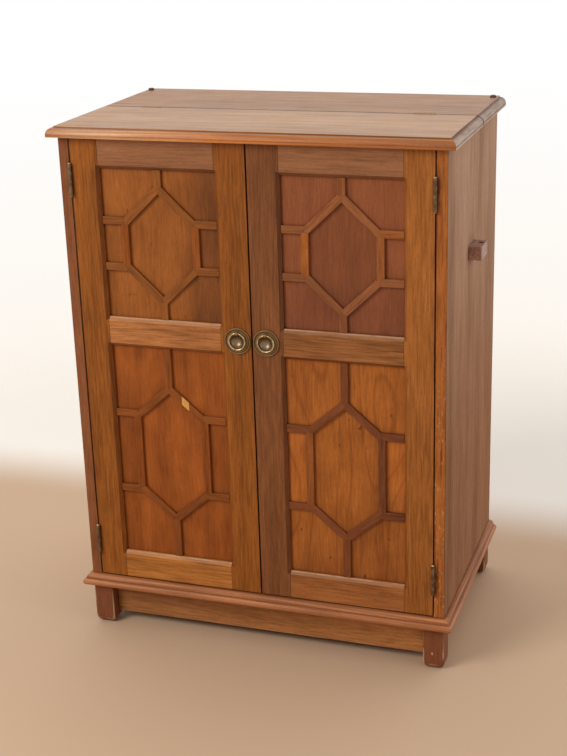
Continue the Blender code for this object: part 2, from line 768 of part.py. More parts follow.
def lattice_outline(low, high, stem, rise):
    """The right half of a lattice's outer outline from top to bottom, and its inner hexagon.

    Both are (x, z) points about the panel's centre line.
    """
    wall = (OPENING_FAR - OPENING_NEAR) / 2 - CLEARANCE
    outer = wall - LATTICE_ARM
    inner = outer - LATTICE_BAR
    slope = math.atan2(rise, inner)
    half_bar = LATTICE_BAR / 2
    outer_top = high - stem
    inner_top = outer_top - LATTICE_BAR / math.cos(slope)
    shoulder = outer_top - outer * math.tan(slope)
    middle = (low + high) / 2
    upper = [
        (half_bar, high),
        (half_bar, outer_top - half_bar * math.tan(slope)),
        (outer - half_bar / math.tan(slope), shoulder + half_bar),
        (wall, shoulder + half_bar),
        (wall, shoulder - half_bar),
        (outer, shoulder - half_bar),
    ]
    half_outline = upper + [(x, 2 * middle - z) for x, z in reversed(upper)]
    corners = [(0, inner_top), (inner, inner_top - rise)]
    right = corners + [(x, 2 * middle - z) for x, z in reversed(corners)]
    hexagon = right + [(-x, z) for x, z in reversed(right[1:-1])]
    return half_outline, hexagon


def lattice(low, high, stem, rise):
    half_outline, hexagon = lattice_outline(low, high, stem, rise)
    outline = half_outline + [(-x, z) for x, z in reversed(half_outline)]
    centre = (OPENING_NEAR + OPENING_FAR) / 2
    back = PANEL_FACE - CLEARANCE
    shape = bmesh.new()
    edges = []
    for loop in (outline, hexagon):
        verts = [shape.verts.new((centre + x, back, z)) for x, z in loop]
        edges += [shape.edges.new((vert, verts[number - 1])) for number, vert in enumerate(verts)]
    filled = bmesh.ops.triangle_fill(shape, edges=edges, use_beauty=True, use_dissolve=False)
    faces = [item for item in filled["geom"] if isinstance(item, bmesh.types.BMFace)]
    raised = bmesh.ops.extrude_face_region(shape, geom=faces, use_keep_orig=True)["geom"]
    verts = [item for item in raised if isinstance(item, bmesh.types.BMVert)]
    bmesh.ops.translate(shape, vec=(0, -LATTICE_DEPTH, 0), verts=verts)
    bmesh.ops.recalc_face_normals(shape, faces=shape.faces)
    front = back - LATTICE_DEPTH
    arris = [
        edge
        for edge in shape.edges
        if all(abs(vert.co.y - front) < CLEARANCE / 10 for vert in edge.verts)
        and edge.calc_face_angle(0) > math.radians(45)
    ]
    return bevelled(shape, arris, LATTICE_ARRIS, 1)


def make_panels(hand_name, hand, door):
    reach = GROOVE_DEPTH - CLEARANCE
    fields = {
        "upper": (UPPER_BOTTOM, UPPER_TOP, UPPER_STEM, UPPER_RISE),
        "lower": (LOWER_BOTTOM, LOWER_TOP, LOWER_STEM, LOWER_RISE),
    }
    for name, (bottom, top, stem, rise) in fields.items():
        panel = box(
            (OPENING_NEAR - reach, PANEL_FACE, bottom - reach), (OPENING_FAR + reach, PANEL_REAR, top + reach)
        )
        add_piece(f"{hand_name}_{name}_panel", handed(panel, hand), door, "panel")
        strips = lattice(bottom + CLEARANCE, top - CLEARANCE, stem, rise)
        add_piece(f"{hand_name}_{name}_lattice", handed(strips, hand), door, "lattice")


def make_strikes(hand_name, hand, door):
    middle = CATCH_TOP - CATCH_HEIGHT / 2
    near = MEETING_EDGE + STRIKE_FROM_EDGE
    strike = box(
        (near, DOOR_BACK + CLEARANCE, middle - CATCH_HEIGHT / 2),
        (near + STRIKE_WIDTH, STRIKE_BACK, middle + CATCH_HEIGHT / 2),
    )
    add_piece(f"{hand_name}_strike_plate", handed(strike, hand), door, "steel")


def bowl(curve, reach):
    """Points of (radius, height) on the round of the pull's dish, from its axis out to an angle."""
    turns = [step / CURVE_STEPS * reach for step in range(CURVE_STEPS + 1)]
    return [(curve * math.sin(turn), DISH_CENTRE - curve * math.cos(turn)) for turn in turns]


def pull_profile():
    """The turned pull plate: back, rim, sunk field and a finger dish, as (radius, height) from the door's face."""
    bevel = PULL_RIM - PULL_PLATE
    return [
        *bowl(DISH_BACK, math.acos(DISH_CENTRE / DISH_BACK)),
        (PULL_RADIUS, 0),
        (PULL_RADIUS, PULL_PLATE),
        (PULL_RADIUS - bevel, PULL_RIM),
        (PULL_RADIUS - PULL_RIM_WIDTH + bevel, PULL_RIM),
        (PULL_RADIUS - PULL_RIM_WIDTH, PULL_PLATE),
        (DISH_RADIUS + 2 * DISH_WALL, PULL_PLATE),
        (DISH_RADIUS + DISH_WALL, DISH_LIP),
        *reversed(bowl(DISH_CURVE, math.asin(DISH_RADIUS / DISH_CURVE))),
    ]


def make_pulls(hand_name, hand, door, ring_axis):
    face = FRONT - CLEARANCE
    plate = turned(pull_profile(), PULL_ROUND, (PULL_X, face, PULL_Z), (0, -1, 0))
    eye, bore = (
        rod(
            (PULL_X - reach, RING_AXIS_Y, RING_AXIS_Z),
            (PULL_X + reach, RING_AXIS_Y, RING_AXIS_Z),
            radius,
            SMALL_ROUND,
        )
        for reach, radius in ((EYE_WIDTH / 2, EYE_RADIUS), (EYE_WIDTH, EYE_BORE))
    )
    add_piece(
        f"{hand_name}_pull_plate",
        handed(plate, hand),
        door,
        "brass",
        joins=handed_all([eye], hand),
        cuts=handed_all([bore], hand),
        smooth=True,
    )
    ring = bmesh.new()
    wire = bmesh.ops.create_circle(ring, segments=WIRE_ROUND, radius=RING_WIRE)["verts"]
    bmesh.ops.rotate(ring, verts=wire, cent=(0, 0, 0), matrix=Matrix.Rotation(math.pi / 2, 3, "Y"))
    bmesh.ops.translate(ring, verts=wire, vec=(0, 0, RING_RADIUS))
    bmesh.ops.spin(
        ring,
        geom=ring.verts[:] + ring.edges[:],
        cent=(0, 0, 0),
        axis=(0, 1, 0),
        angle=math.tau,
        steps=PULL_ROUND,
        use_merge=True,
    )
    bmesh.ops.remove_doubles(ring, verts=ring.verts, dist=1e-6)
    bmesh.ops.recalc_face_normals(ring, faces=ring.faces)
    ring.transform(Matrix.Translation((PULL_X, RING_AXIS_Y, PULL_Z)))
    add_piece(
        f"{hand_name}_pull_ring",
        handed(ring, hand),
        ring_axis,
        "brass",
        origin=place_in_world(ring_axis),
        smooth=True,
    )


def main():
    clear_scene()
    carcass = empty("carcass", (0, 0, 0))
    lid = empty("lid_axis", (0, SEAM, LID_AXIS_Z), carcass)
    doors = {}
    make_base(carcass)
    make_plinth(carcass)
    make_sides(carcass)
    make_inside(carcass)
    make_lugs(carcass)
    make_top(carcass, lid)
    for hand_name, hand in HANDS.items():
        door = empty(f"{hand_name}_door_axis", (hand * DOOR_AXIS_X, DOOR_AXIS_Y, 0), carcass)
        ring_axis = empty(
            f"{hand_name}_ring_axis", (hand * PULL_X, RING_AXIS_Y, RING_AXIS_Z), door
        )
        doors[hand_name] = door
        make_stiles(hand_name, hand, door)
        make_rails(hand_name, hand, door)
        make_panels(hand_name, hand, door)
        make_strikes(hand_name, hand, door)
        make_pulls(hand_name, hand, door, ring_axis)
    make_hinges(carcass, lid, doors)


main()
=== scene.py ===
"""Looks of the bar cabinet: softened timber, grain, wear, brass fittings and a plain studio round its frame.

The file is laid out as an add-on. Each operator dresses one group of pieces, and main() runs them in order.
Metres, +Z up, with the doors facing -Y, as in the frame.
"""

import json
import math

import bmesh
import bpy
from mathutils import Matrix, Quaternion, Vector


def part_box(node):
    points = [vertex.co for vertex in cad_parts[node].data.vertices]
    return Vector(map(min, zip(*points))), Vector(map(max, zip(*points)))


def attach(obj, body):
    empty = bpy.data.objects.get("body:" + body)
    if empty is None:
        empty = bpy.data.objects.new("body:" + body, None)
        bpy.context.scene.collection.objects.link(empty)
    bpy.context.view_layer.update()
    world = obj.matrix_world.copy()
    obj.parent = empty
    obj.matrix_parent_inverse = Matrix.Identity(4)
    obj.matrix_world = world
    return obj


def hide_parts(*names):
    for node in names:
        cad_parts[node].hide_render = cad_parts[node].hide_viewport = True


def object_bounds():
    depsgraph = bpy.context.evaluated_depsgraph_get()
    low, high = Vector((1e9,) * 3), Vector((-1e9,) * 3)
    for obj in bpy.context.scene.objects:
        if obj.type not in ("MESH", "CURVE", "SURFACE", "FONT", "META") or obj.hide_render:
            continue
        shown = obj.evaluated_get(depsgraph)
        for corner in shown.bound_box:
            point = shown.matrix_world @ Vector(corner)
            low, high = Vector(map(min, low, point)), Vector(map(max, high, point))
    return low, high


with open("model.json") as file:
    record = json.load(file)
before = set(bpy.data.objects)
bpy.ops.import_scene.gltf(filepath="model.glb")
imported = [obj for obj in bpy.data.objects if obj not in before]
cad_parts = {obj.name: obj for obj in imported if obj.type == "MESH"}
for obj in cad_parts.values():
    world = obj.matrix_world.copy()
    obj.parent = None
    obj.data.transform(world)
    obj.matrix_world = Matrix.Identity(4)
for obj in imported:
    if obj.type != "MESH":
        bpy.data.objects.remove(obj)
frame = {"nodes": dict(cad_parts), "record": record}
CAD_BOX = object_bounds()

bl_info = {
    "name": "Bar cabinet looks",
    "version": (1, 0, 0),
    "blender": (4, 5, 0),
    "location": "View3D > Sidebar > Cabinet",
    "description": "Dresses the bar cabinet's frame with timber, brass, wear and a studio stage",
    "category": "Object",
}

RECORD = frame["record"]
BODY_OF = {node: body for body, nodes in RECORD["behaviour"]["bodies"].items() for node in nodes}
HANDS = {"left": -1, "right": 1}
LEVELS = ("upper", "lower")

# Limits for joining, sorting, rounding and shading
MERGE = 0.00001
FINE_MERGE = MERGE / 10
FACING = 0.05
ROUNDED = 0.96
SHORT_EDGE = 0.006
FLAT = math.radians(0.6)
SHARP = math.radians(32)
SMOOTH = math.radians(38)

# How far the deep and pale streaks, the pores, and the dirt and painted shade depart from a timber's own
# colour
DEEP_SHARE = (0.50, 0.45, 0.40)
PALE_SHARE = (1.46, 1.52, 1.58)
PORE_SHARE = (0.42, 0.36, 0.30)
DIRT_AND_SHADE_SHARE = (0.36, 0.22, 0.15)

# A timber's figure: how fine each size of it is along and across the grain, and how detailed
BANDS = (2.6, 46.0, 2.0)
MOTTLE = (16.0, 30.0, 4.0)
STREAKS = (28.0, 400.0, 4.0)
PORES = ((170.0, 1500.0), (120.0, 640.0))
CONTOUR = (2.4, 8.5)
CONTOUR_LINES = 11.0
SWAY = (2.5, 9.0)
SWAY_REACH = 0.010
GRAIN_DEPTH = 0.0003

# The shifts that give each board and each strip its own part of the figure
BOARD_SHIFT = Vector((0.37, 0.71, 0.53))
STRIP_SHIFT = Vector((0.41, 0.23, 0.17))

# How far dirt and painted shade reach out of a corner, their colour on metal against the tarnish, and the
# depth of metal's pits
DIRT_AND_SHADE_REACH = 0.006
METAL_DIRT_AND_SHADE_REACH = 0.002
METAL_DIRT_AND_SHADE_SHARE = (0.35, 0.32, 0.28)
PIT_DEPTH = 0.0001

# Where a cloudy pattern turns from sound to worn
PATCHES = (0.25, 0.60)

# Painted reflection and wear of the sides: heights between which the painted reflection pales them and they
# are nicked, streaks of the right one's front edge (fineness along each axis, strength, change of colour),
# and how far dirt lies round the hinges
SHEEN_HEIGHTS = (0.25, 0.85)
NICK_HEIGHTS = (0.70, 0.30)
EDGE_STREAKS = (
    ((300.0, 60.0, 13.0), 0.75, (0.42, 0.26, 0.20)),
    ((230.0, 60.0, 19.0), 0.50, (1.30, 1.25, 1.05)),
)
HINGE_DIRT = (0.013, 0.003)

# Painted shade on the mouldings and in the seam of the top: how far from the line it begins, and where it is
# deepest
TOP_QUIRK_SHADE = 0.0009
BASE_QUIRK_SHADE = 0.0014
QUIRK_DEEP = 0.0003
STEP_SHADE = 0.0016
SEAM_SHADE = (0.0034, 0.0024)

# The top's front moulding: where its left end begins, and how its colour changes to the left and the right
MOULDING_END = (-0.335, -0.255)
MOULDING_CHANGES = ((-0.30, (1.32, 2.25, 7.5)), (0.30, (0.66, 0.64, 0.64)))

# The plinth's painted shadow, as depths under its top, and how far to each side its colour turns
PLINTH_SHADOW = (0.024, 0.002)
PLINTH_TURN = 0.25

# Feet: heights between which they are rubbed, the nick in one, and cuts across a toe in shares of its radius
FOOT_RUB_HEIGHTS = (0.062, 0.030)
FOOT_NICK = (0.0028, 0.0016)
FOOT_NICK_RAGGED = 0.0016
FOOT_NICK_HEIGHT = 0.027
TOE_CUTS = (0.55, 1.0, 1.6, 2.4)

# Where a panel's tone turns, from the outer line of the hexagon on it: towards a corner and towards a side
CORNER_TURN = (-0.005, -0.001)
SIDE_TURN = (-0.009, -0.003)

# Strips of a lattice, by the order they are laid in: the chipped one, and how far others are warmer
CHIPPED_STRIP = 1
WARM_STRIPS = {
    "left_upper": {10: 0.7, 11: 1.0},
    "left_lower": {10: 1.0, 11: 1.0},
    "right_upper": {2: 0.7, 10: 0.5, 11: 1.0},
    "right_lower": {11: 0.45},
}

# Screws stand at the middle of a hinge leaf and at this share of its length to each side, each turned further
SCREW_SPREAD = 0.34
SCREW_TURN = math.radians(34)

# How bright the tips of the hinges, the screws and the pulls' rims are rubbed
RUBBED_TIP = 0.8
RUBBED_SCREW = 0.6
RUBBED_RIM = 0.15

# Steps round a pull, its eye and its wire
PULL_STEPS = 96
EYE_STEPS = 32
WIRE_STEPS = 20

# Studio: where its light and its background turn, by direction, then its colours, lamps and camera sensor
LIGHT_TURN = (-0.35, 0.75)
BACKGROUND_TURN = (-0.34, -0.14)
WORLD_TINT = (1.0, 0.965, 0.92)
WINDOW_PLACE = (-1.7, -2.3, 2.3)
WINDOW_SIZE = 1.5
WINDOW_TINT = (1.0, 0.96, 0.90)
FILL_PLACE = (2.4, -0.6, 1.6)
FILL_SIZE = 1.4
FILL_TINT = (1.0, 0.97, 0.93)
SENSOR_WIDTH = 36.0


def linear(screen_colour):
    """The linear colour of a screen colour written as six hex digits."""
    parts = [int(screen_colour[place:place + 2], 16) / 255 for place in (0, 2, 4)]
    return tuple(part / 12.92 if part <= 0.04045 else ((part + 0.055) / 1.055) ** 2.4 for part in parts)


def colour(name, description, screen_colour):
    tone = linear(screen_colour)
    return bpy.props.FloatVectorProperty(
        name=name, description=description, default=tone, subtype="COLOR", size=3, min=0, max=1
    )


def length(name, description, metres):
    return bpy.props.FloatProperty(
        name=name, description=description, default=metres, subtype="DISTANCE", unit="LENGTH", precision=5
    )


def angle(name, description, degrees):
    return bpy.props.FloatProperty(
        name=name, description=description, default=math.radians(degrees), subtype="ANGLE", unit="ROTATION"
    )


def level(name, description, value, most=10.0):
    return bpy.props.FloatProperty(name=name, description=description, default=value, min=0, max=most)


class CabinetTimber(bpy.types.PropertyGroup):
    """Colours of the cabinet's boards, under plain light."""

    top: colour("Lid leaf", "Front board of the top", "b3855b")
    rear_top: colour("Rear leaf", "Rear board of the top", "a26e3d")
    moulding: colour("Top moulding", "Moulded front edge of the top", "b96c28")
    end_grain: colour("Top ends", "Moulded ends of the top", "aa9483")
    side: colour("Sides", "Side boards", "986f55")
    side_edge: colour("Right side's edge", "Front edge of the right side board", "a9642d")
    left_edge: colour("Left side's edge", "Front edge of the left side board", "8b5433")
    # Painted reflection: the paler colour the sides take high up.
    sheen_tone: colour("Bleached side", "Faded wood high on the sides", "cdb19e")
    lug: colour("Lugs", "Lifting lugs on the sides", "a98171")
    golden: colour("Golden stile", "Stiles of the left door", "91541f")
    amber_stile: colour("Amber stile", "Hinge stile of the right door", "a1622c")
    dark: colour("Dark stile", "Meeting stile of the right door", "7d4c2b")
    rail: colour("Top rail", "Top rails of the doors", "996746")
    right_ledge: colour("Right middle rail", "Middle rail of the right door", "945e34")
    ledge: colour("Left middle rail", "Middle rail of the left door", "ac6f40")
    foot_rail: colour("Left bottom rail", "Bottom rail of the left door", "b07035")
    low_rail: colour("Right bottom rail", "Bottom rail of the right door", "9c6033")
    honey: colour("Left upper panel", "Panel in the left door's upper opening", "9b5b28")
    chestnut: colour("Left lower panel", "Panel in the left door's lower opening", "9e5521")
    mahogany: colour("Right upper panel", "Panel in the right door's upper opening", "864d2f")
    amber: colour("Right lower panel", "Panel in the right door's lower opening", "a45f28")
    strip_gold: colour("Left upper lattice", "Strips on the left door's upper panel", "8c5325")
    strip_brown: colour("Left lower lattice", "Strips on the left door's lower panel", "8c4e22")
    strip_red: colour("Red strips", "Strips of redder wood on the left door's panels", "8a491b")
    strip_rust: colour("Right upper lattice", "Strips on the right door's upper panel", "965c36")
    strip_orange: colour("Warm strips", "Strips of warmer wood on the right door's panels", "a45f2a")
    strip_dark: colour("Right lower lattice", "Strips on the right door's lower panel", "7c4627")
    base: colour("Base moulding", "Moulded base board", "ac6f47")
    plinth: colour("Plinth", "Rails between the feet", "b77a48")
    foot: colour("Feet", "Square feet", "834d32")
    inside: colour("Inside", "Shelf, well and back", "94633a")
    bare: colour("Bare wood", "Fresh wood in a chip", "e0a860")
    # On the chamfers that look up, this pale colour is a painted highlight as well as wear.
    rubbed: colour("Rubbed wood", "Pale wood on rubbed arrises and ledges", "cfa888")
    # This dark colour also paints the shade of the top's seam.
    soot_and_seam_shade: colour("Grime", "Dirt in dents and corners", "2a1408")


class CabinetMetal(bpy.types.PropertyGroup):
    """Colours of the fittings."""

    brass: colour("Brass", "Rubbed brass of the rims", "94754a")
    dish_brass: colour("Dish brass", "Brass of the finger dishes", "7c664f")
    bright_brass: colour("Bright brass", "Handled brass of the rings", "ceb48a")
    patina: colour("Patina", "Tarnish of the pulls' plates", "74562c")
    bronze: colour("Bronze", "Dark tarnish of the door hinges", "5c432b")
    lid_bronze: colour("Lid hinge bronze", "Tarnish of the hinges in the top", "a58a70")
    steel: colour("Steel", "Catch and strike plates", "b4aea4")
    rubber: colour("Rubber", "Rest studs under the folded lid", "3c302a")


class CabinetSizes(bpy.types.PropertyGroup):
    """Sizes of the softened edges, strips, screws and marks."""

    board_arris: length("Board arris", "Rounding of the boards' edges", 0.0009)
    side_arris: length("Side arris", "Rounding of the side boards' edges", 0.0005)
    frame_arris: length("Frame arris", "Rounding of the door frames' edges", 0.0004)
    foot_toe: length("Foot toe", "Rounding at the bottom of the feet", 0.0085)
    chamfer: length("Chamfer", "Width of the chamfer round the panels", 0.005)
    foot_arris: length("Foot arris", "Rounding left on the feet's edges", 0.0008)
    strip_width: length("Strip width", "Width of a lattice strip", 0.012)
    strip_arris: length("Strip arris", "Rounding of a lattice strip", 0.0008)
    strip_joint: length("Strip joint", "Open joint between lattice strips", 0.00012)
    arm: length("Arm", "From the opening's side to the hexagon", 0.0295)
    upper_stem: length("Upper stem", "From the opening's top to the upper hexagon", 0.020)
    upper_rise: length("Upper rise", "Height of the upper hexagon's sloping sides", 0.049)
    lower_stem: length("Lower stem", "From the opening's top to the lower hexagon", 0.059)
    lower_rise: length("Lower rise", "Height of the lower hexagon's sloping sides", 0.044)
    chip_start: length("Chip start", "From a panel's centre line to the chip in its lattice", 0.0195)
    chip_length: length("Chip length", "Width of that chip across the door", 0.0128)
    chip_depth: length("Chip depth", "Depth of that chip", 0.0012)
    rim_width: length("Pull rim", "Width of the pull plate's raised rim", 0.0026)
    dish_radius: length("Dish radius", "Radius of the pull's finger dish", 0.0100)
    dish_lip: length("Dish lip", "How far the dish's lip stands on the door", 0.0022)
    dish_sink: length("Dish sink", "How far the dish is let into the door", 0.0032)
    dish_wall: length("Dish wall", "Thickness of the dish's metal", 0.0008)
    wire_radius: length("Ring wire", "Radius of the ring's wire", 0.0015)
    screw_radius: length("Screw head", "Radius of a hinge screw's head", 0.0026)
    lid_screw_radius: length("Lid screw head", "Radius of a lid hinge screw's head", 0.0017)
    screw_slot: length("Screw slot", "Width of a screw head's slot", 0.0007)
    screw_rise: length("Screw rise", "How far a screw's head stands on its leaf", 0.00012)
    hinge_tip: length("Hinge tip", "Length at each end of a door hinge that is rubbed bright", 0.0024)
    hinge_play: length("Hinge play", "Gap between the two plates of a closed hinge", 0.0004)
    rim_rise: length("Rim rise", "Height of the pull plate's rim", 0.0024)
    field_rise: length("Field rise", "Height of the pull plate's sunk field", 0.0016)
    eye_bore: length("Eye bore", "Radius of the hole that the ring hangs in", 0.0021)
    eye_wall: length("Eye wall", "Thickness of metal round that hole", 0.0010)
    eye_width: length("Eye width", "Width of the eye along the ring's wire", 0.0045)
    top_quirk: length("Top quirk", "Height of the step over the top moulding's curve", 0.0020)
    base_bead: length("Base bead", "Height of the bead at the foot of the base moulding", 0.0124)
    top_fillet: length("Top fillet", "Height of the flat band under the top moulding's curve", 0.0042)


class CabinetStage(bpy.types.PropertyGroup):
    """Camera, floor and light."""

    camera_place: bpy.props.FloatVectorProperty(
        name="Camera", description="Place of the camera", default=(0.7195, -2.13375, 1.2111), subtype="XYZ",
        unit="LENGTH", size=3,
    )
    camera_azimuth: angle("Azimuth", "Turn of the camera about the cabinet", 18.9355)
    camera_elevation: angle("Elevation", "How far the camera looks down", 19.7682)
    camera_roll: angle("Roll", "Tilt of the picture", -1.7815)
    camera_lens: level("Lens", "Focal length in millimetres on a 36 mm sensor", 68.91, 300)
    floor: colour("Floor", "Plain floor", "ccaf93")
    background: colour("Background", "What lies behind the cabinet", "ffffff")
    low_background: colour("Low background", "The background towards the floor", "fdf5ea")
    floor_radius: length("Floor radius", "Radius of the floor", 6.0)
    pale_floor: colour("Pale floor", "The floor behind the cabinet", "fbf6f0")
    floor_end: length("Floor end", "How far behind the cabinet's middle the floor begins to turn pale", 0.28)
    floor_pale: length("Pale from", "How far behind the cabinet's middle the floor has turned pale", 0.52)
    floor_clear: length("Clear floor", "Distance within which the floor is seen whole", 0.75)
    floor_fade: length("Floor fade", "Distance at which the floor has faded into the background", 1.70)
    back_light: level("Light behind", "Strength of the light from behind", 1.35)
    front_light: level("Light in front", "Strength of the light from the front", 0.34)
    window_power: level("Window", "Power of the large lamp at the upper left, in watts", 62.0, 2000)
    fill_power: level("Fill", "Power of the lamp at the right, in watts", 9.0, 2000)


class NodeKit:
    """A node tree, with short calls that add nodes and join them."""

    def __init__(self, tree):
        self.tree = tree

    def feed(self, socket, value):
        """Links a socket's value, or sets a plain one."""
        if isinstance(value, bpy.types.NodeSocket):
            self.tree.links.new(value, socket)
        elif socket.type == "RGBA" and len(value) == 3:
            socket.default_value = (*value, 1)
        else:
            socket.default_value = value

    def node(self, kind, inputs=None, **settings):
        made = self.tree.nodes.new("ShaderNode" + kind)
        for name, value in settings.items():
            setattr(made, name, value)
        for name, value in (inputs or {}).items():
            self.feed(made.inputs[name], value)
        return made

    def math(self, operation, *values):
        return self.node("Math", dict(enumerate(values)), operation=operation).outputs[0]

    def product(self, first, *others):
        for other in others:
            first = self.math("MULTIPLY", first, other)
        return first

    def vector(self, operation, first, second=(0, 0, 0)):
        made = self.node("VectorMath", {0: first, 1: second}, operation=operation)
        return made.outputs["Value" if operation == "LENGTH" else "Vector"]

    def along(self, place, axis):
        return self.node("SeparateXYZ", {0: place}).outputs[axis]

    def from_line(self, place, axis, line):
        """How far a place lies from a line, to either side."""
        return self.math("ABSOLUTE", self.math("SUBTRACT", self.along(place, axis), line))

    def between(self, value, low, high):
        """0 at the low value, 1 at the high one, smooth between. Low may be the greater."""
        inputs = {0: value, 1: low, 2: high, 3: 0.0, 4: 1.0}
        return self.node("MapRange", inputs, interpolation_type="SMOOTHSTEP").outputs[0]

    def mix(self, share, first, second, blend="MIX"):
        """One colour mixed into another."""
        inputs = {0: share, 6: first, 7: second}
        return self.node("Mix", inputs, data_type="RGBA", blend_type=blend).outputs[2]

    def shaded(self, share, body, change):
        """A colour multiplied by another, over a share of the piece."""
        return self.mix(share, body, self.mix(1.0, body, change, "MULTIPLY"))

    def noise(self, place, scale, detail=2.0, roughness=0.5, output="Fac"):
        """A cloudy pattern. A scale for each axis stretches it."""
        if isinstance(scale, tuple):
            place, scale = self.vector("MULTIPLY", place, scale), 1.0
        inputs = {"Vector": place, "Scale": scale, "Detail": detail, "Roughness": roughness}
        return self.node("TexNoise", inputs).outputs[output]

    def looking(self):
        """1 on rays that show the scene to the camera: straight, mirrored or passed through."""
        path = self.node("LightPath").outputs
        seen = path["Is Camera Ray"]
        for kind in ("Is Glossy Ray", "Is Transmission Ray"):
            seen = self.math("MAXIMUM", seen, path[kind])
        return seen


class Recipe(NodeKit):
    """A material, built from its shader's sockets back."""

    def __init__(self, name):
        self.material = bpy.data.materials.new(name)
        self.material.use_nodes = True
        super().__init__(self.material.node_tree)
        self.shader = self.tree.nodes["Principled BSDF"]

    def object_place(self):
        return self.node("TexCoord").outputs["Object"]

    def facing(self):
        """The way a face looks, along the piece's own axes."""
        return self.node("TexCoord").outputs["Normal"]

    def attribute(self, name, output="Fac"):
        return self.node("Attribute", attribute_name=name).outputs[output]

    def corners(self, reach, clear, deep):
        """0 where a face is as open as the clear share, 1 where it is as hidden as the deep one. It masks the
        dirt and painted shade in corners.
        """
        shelter = self.node("AmbientOcclusion", {"Distance": reach}, samples=6).outputs["AO"]
        return self.between(shelter, clear, deep)

    def bump(self, height, depth, strength):
        inputs = {"Height": height, "Distance": depth, "Strength": strength}
        return self.node("Bump", inputs).outputs["Normal"]

    def finish(self, **sockets):
        """Sets the shader's sockets, named with underscores for spaces."""
        for name, value in sockets.items():
            self.feed(self.shader.inputs[name.replace("_", " ")], value)
        return self.material


def tinted(base, share):
    return tuple(min(1.0, part * factor) for part, factor in zip(base, share))


def retoned(recipe, share, body, old_tone, new_tone):
    """The same figure in another tone, over a share of the piece."""
    return recipe.shaded(share, body, tuple(new / old for new, old in zip(new_tone, old_tone)))


def grain_scale(axis, along, across):
    """Noise scales that stretch a pattern along one axis."""
    return tuple(along if name == axis else across for name in "XYZ")


def swayed(recipe, place, axis):
    """A place that wanders a little across the grain, so that streaks don't run dead straight."""
    wander = recipe.noise(place, grain_scale(axis, *SWAY), detail=1.0, output="Color")
    drift = recipe.vector("SUBTRACT", wander, (0.5, 0.5, 0.5))
    return recipe.vector("ADD", place, recipe.vector("MULTIPLY", drift, grain_scale(axis, 0.0, SWAY_REACH)))


def contour_lines(recipe, place, axis):
    """Thin lines of a flat-sawn board, which close into arches and rings along the grain."""
    slow = recipe.noise(place, grain_scale(axis, *CONTOUR), detail=1)
    phase = recipe.math("FRACT", recipe.product(slow, CONTOUR_LINES))
    from_line = recipe.math("ABSOLUTE", recipe.math("SUBTRACT", phase, 0.5))
    return recipe.between(from_line, 0.38, 0.50)


def timber(
    name,
    tone,
    axis,
    place_from=None,
    bands=0.8,
    streaks=1.25,
    mottle=0.6,
    lines=0.0,
    pores=0.24,
    width=1.0,
    reach=1.0,
    roughness=0.42,
    shine=0.16,
    rub=0.2,
    grime_and_shade=0.75,
    marks=None,
):
    """Stained and polished wood with its grain along an axis.

    Bands, streaks, mottle, lines and pores say how strong each size of figure is, width how broad and reach
    how long. The polish is rubbed on the marked arrises, and the corners darken with dirt and painted shade.
    Marks adds a piece's own wear and painted shade.
    """
    recipe = Recipe(name)
    place = recipe.attribute(place_from, "Vector") if place_from else recipe.object_place()
    place = recipe.vector("ADD", place, BOARD_SHIFT * len(bpy.data.materials))
    grain = swayed(recipe, place, axis)
    share = 0.5
    for strength, (along, across, detail) in ((bands, BANDS), (mottle, MOTTLE), (streaks, STREAKS)):
        pattern = recipe.noise(grain, grain_scale(axis, along / reach, across / width), detail)
        share = recipe.math("MULTIPLY_ADD", recipe.math("SUBTRACT", pattern, 0.5), strength, share)
    body = recipe.mix(share, tinted(tone, DEEP_SHARE), tinted(tone, PALE_SHARE))
    if lines:
        drawn = contour_lines(recipe, grain, axis)
        body = recipe.mix(recipe.product(drawn, lines), body, tinted(tone, PORE_SHARE))
    for along, across in PORES:
        flecks = recipe.between(recipe.noise(grain, grain_scale(axis, along, across)), 0.55, 0.70)
        body = recipe.mix(recipe.product(flecks, pores), body, tinted(tone, PORE_SHARE))
    if rub:
        patchy = recipe.between(recipe.noise(place, 60.0, 4.0, 0.6), 0.36, 0.62)
        worn = recipe.product(recipe.attribute("arris"), patchy, rub)
        body = recipe.mix(worn, body, bpy.context.scene.cabinet_timber.rubbed)
    if marks:
        body = marks(recipe, recipe.object_place(), body)
    # Corners darken by how hidden they are: dirt, and painted shade.
    dirt_and_shade = recipe.product(recipe.corners(DIRT_AND_SHADE_REACH, 0.78, 0.30), grime_and_shade)
    body = recipe.mix(dirt_and_shade, body, tinted(tone, DIRT_AND_SHADE_SHARE))
    rough = recipe.math("MULTIPLY_ADD", recipe.noise(place, 24.0, 3.0), 0.16, roughness - 0.08)
    normal = recipe.bump(recipe.math("MULTIPLY_ADD", flecks, -0.6, pattern), GRAIN_DEPTH, 0.3)
    return recipe.finish(Base_Color=body, Roughness=rough, Normal=normal, Specular_IOR_Level=shine)


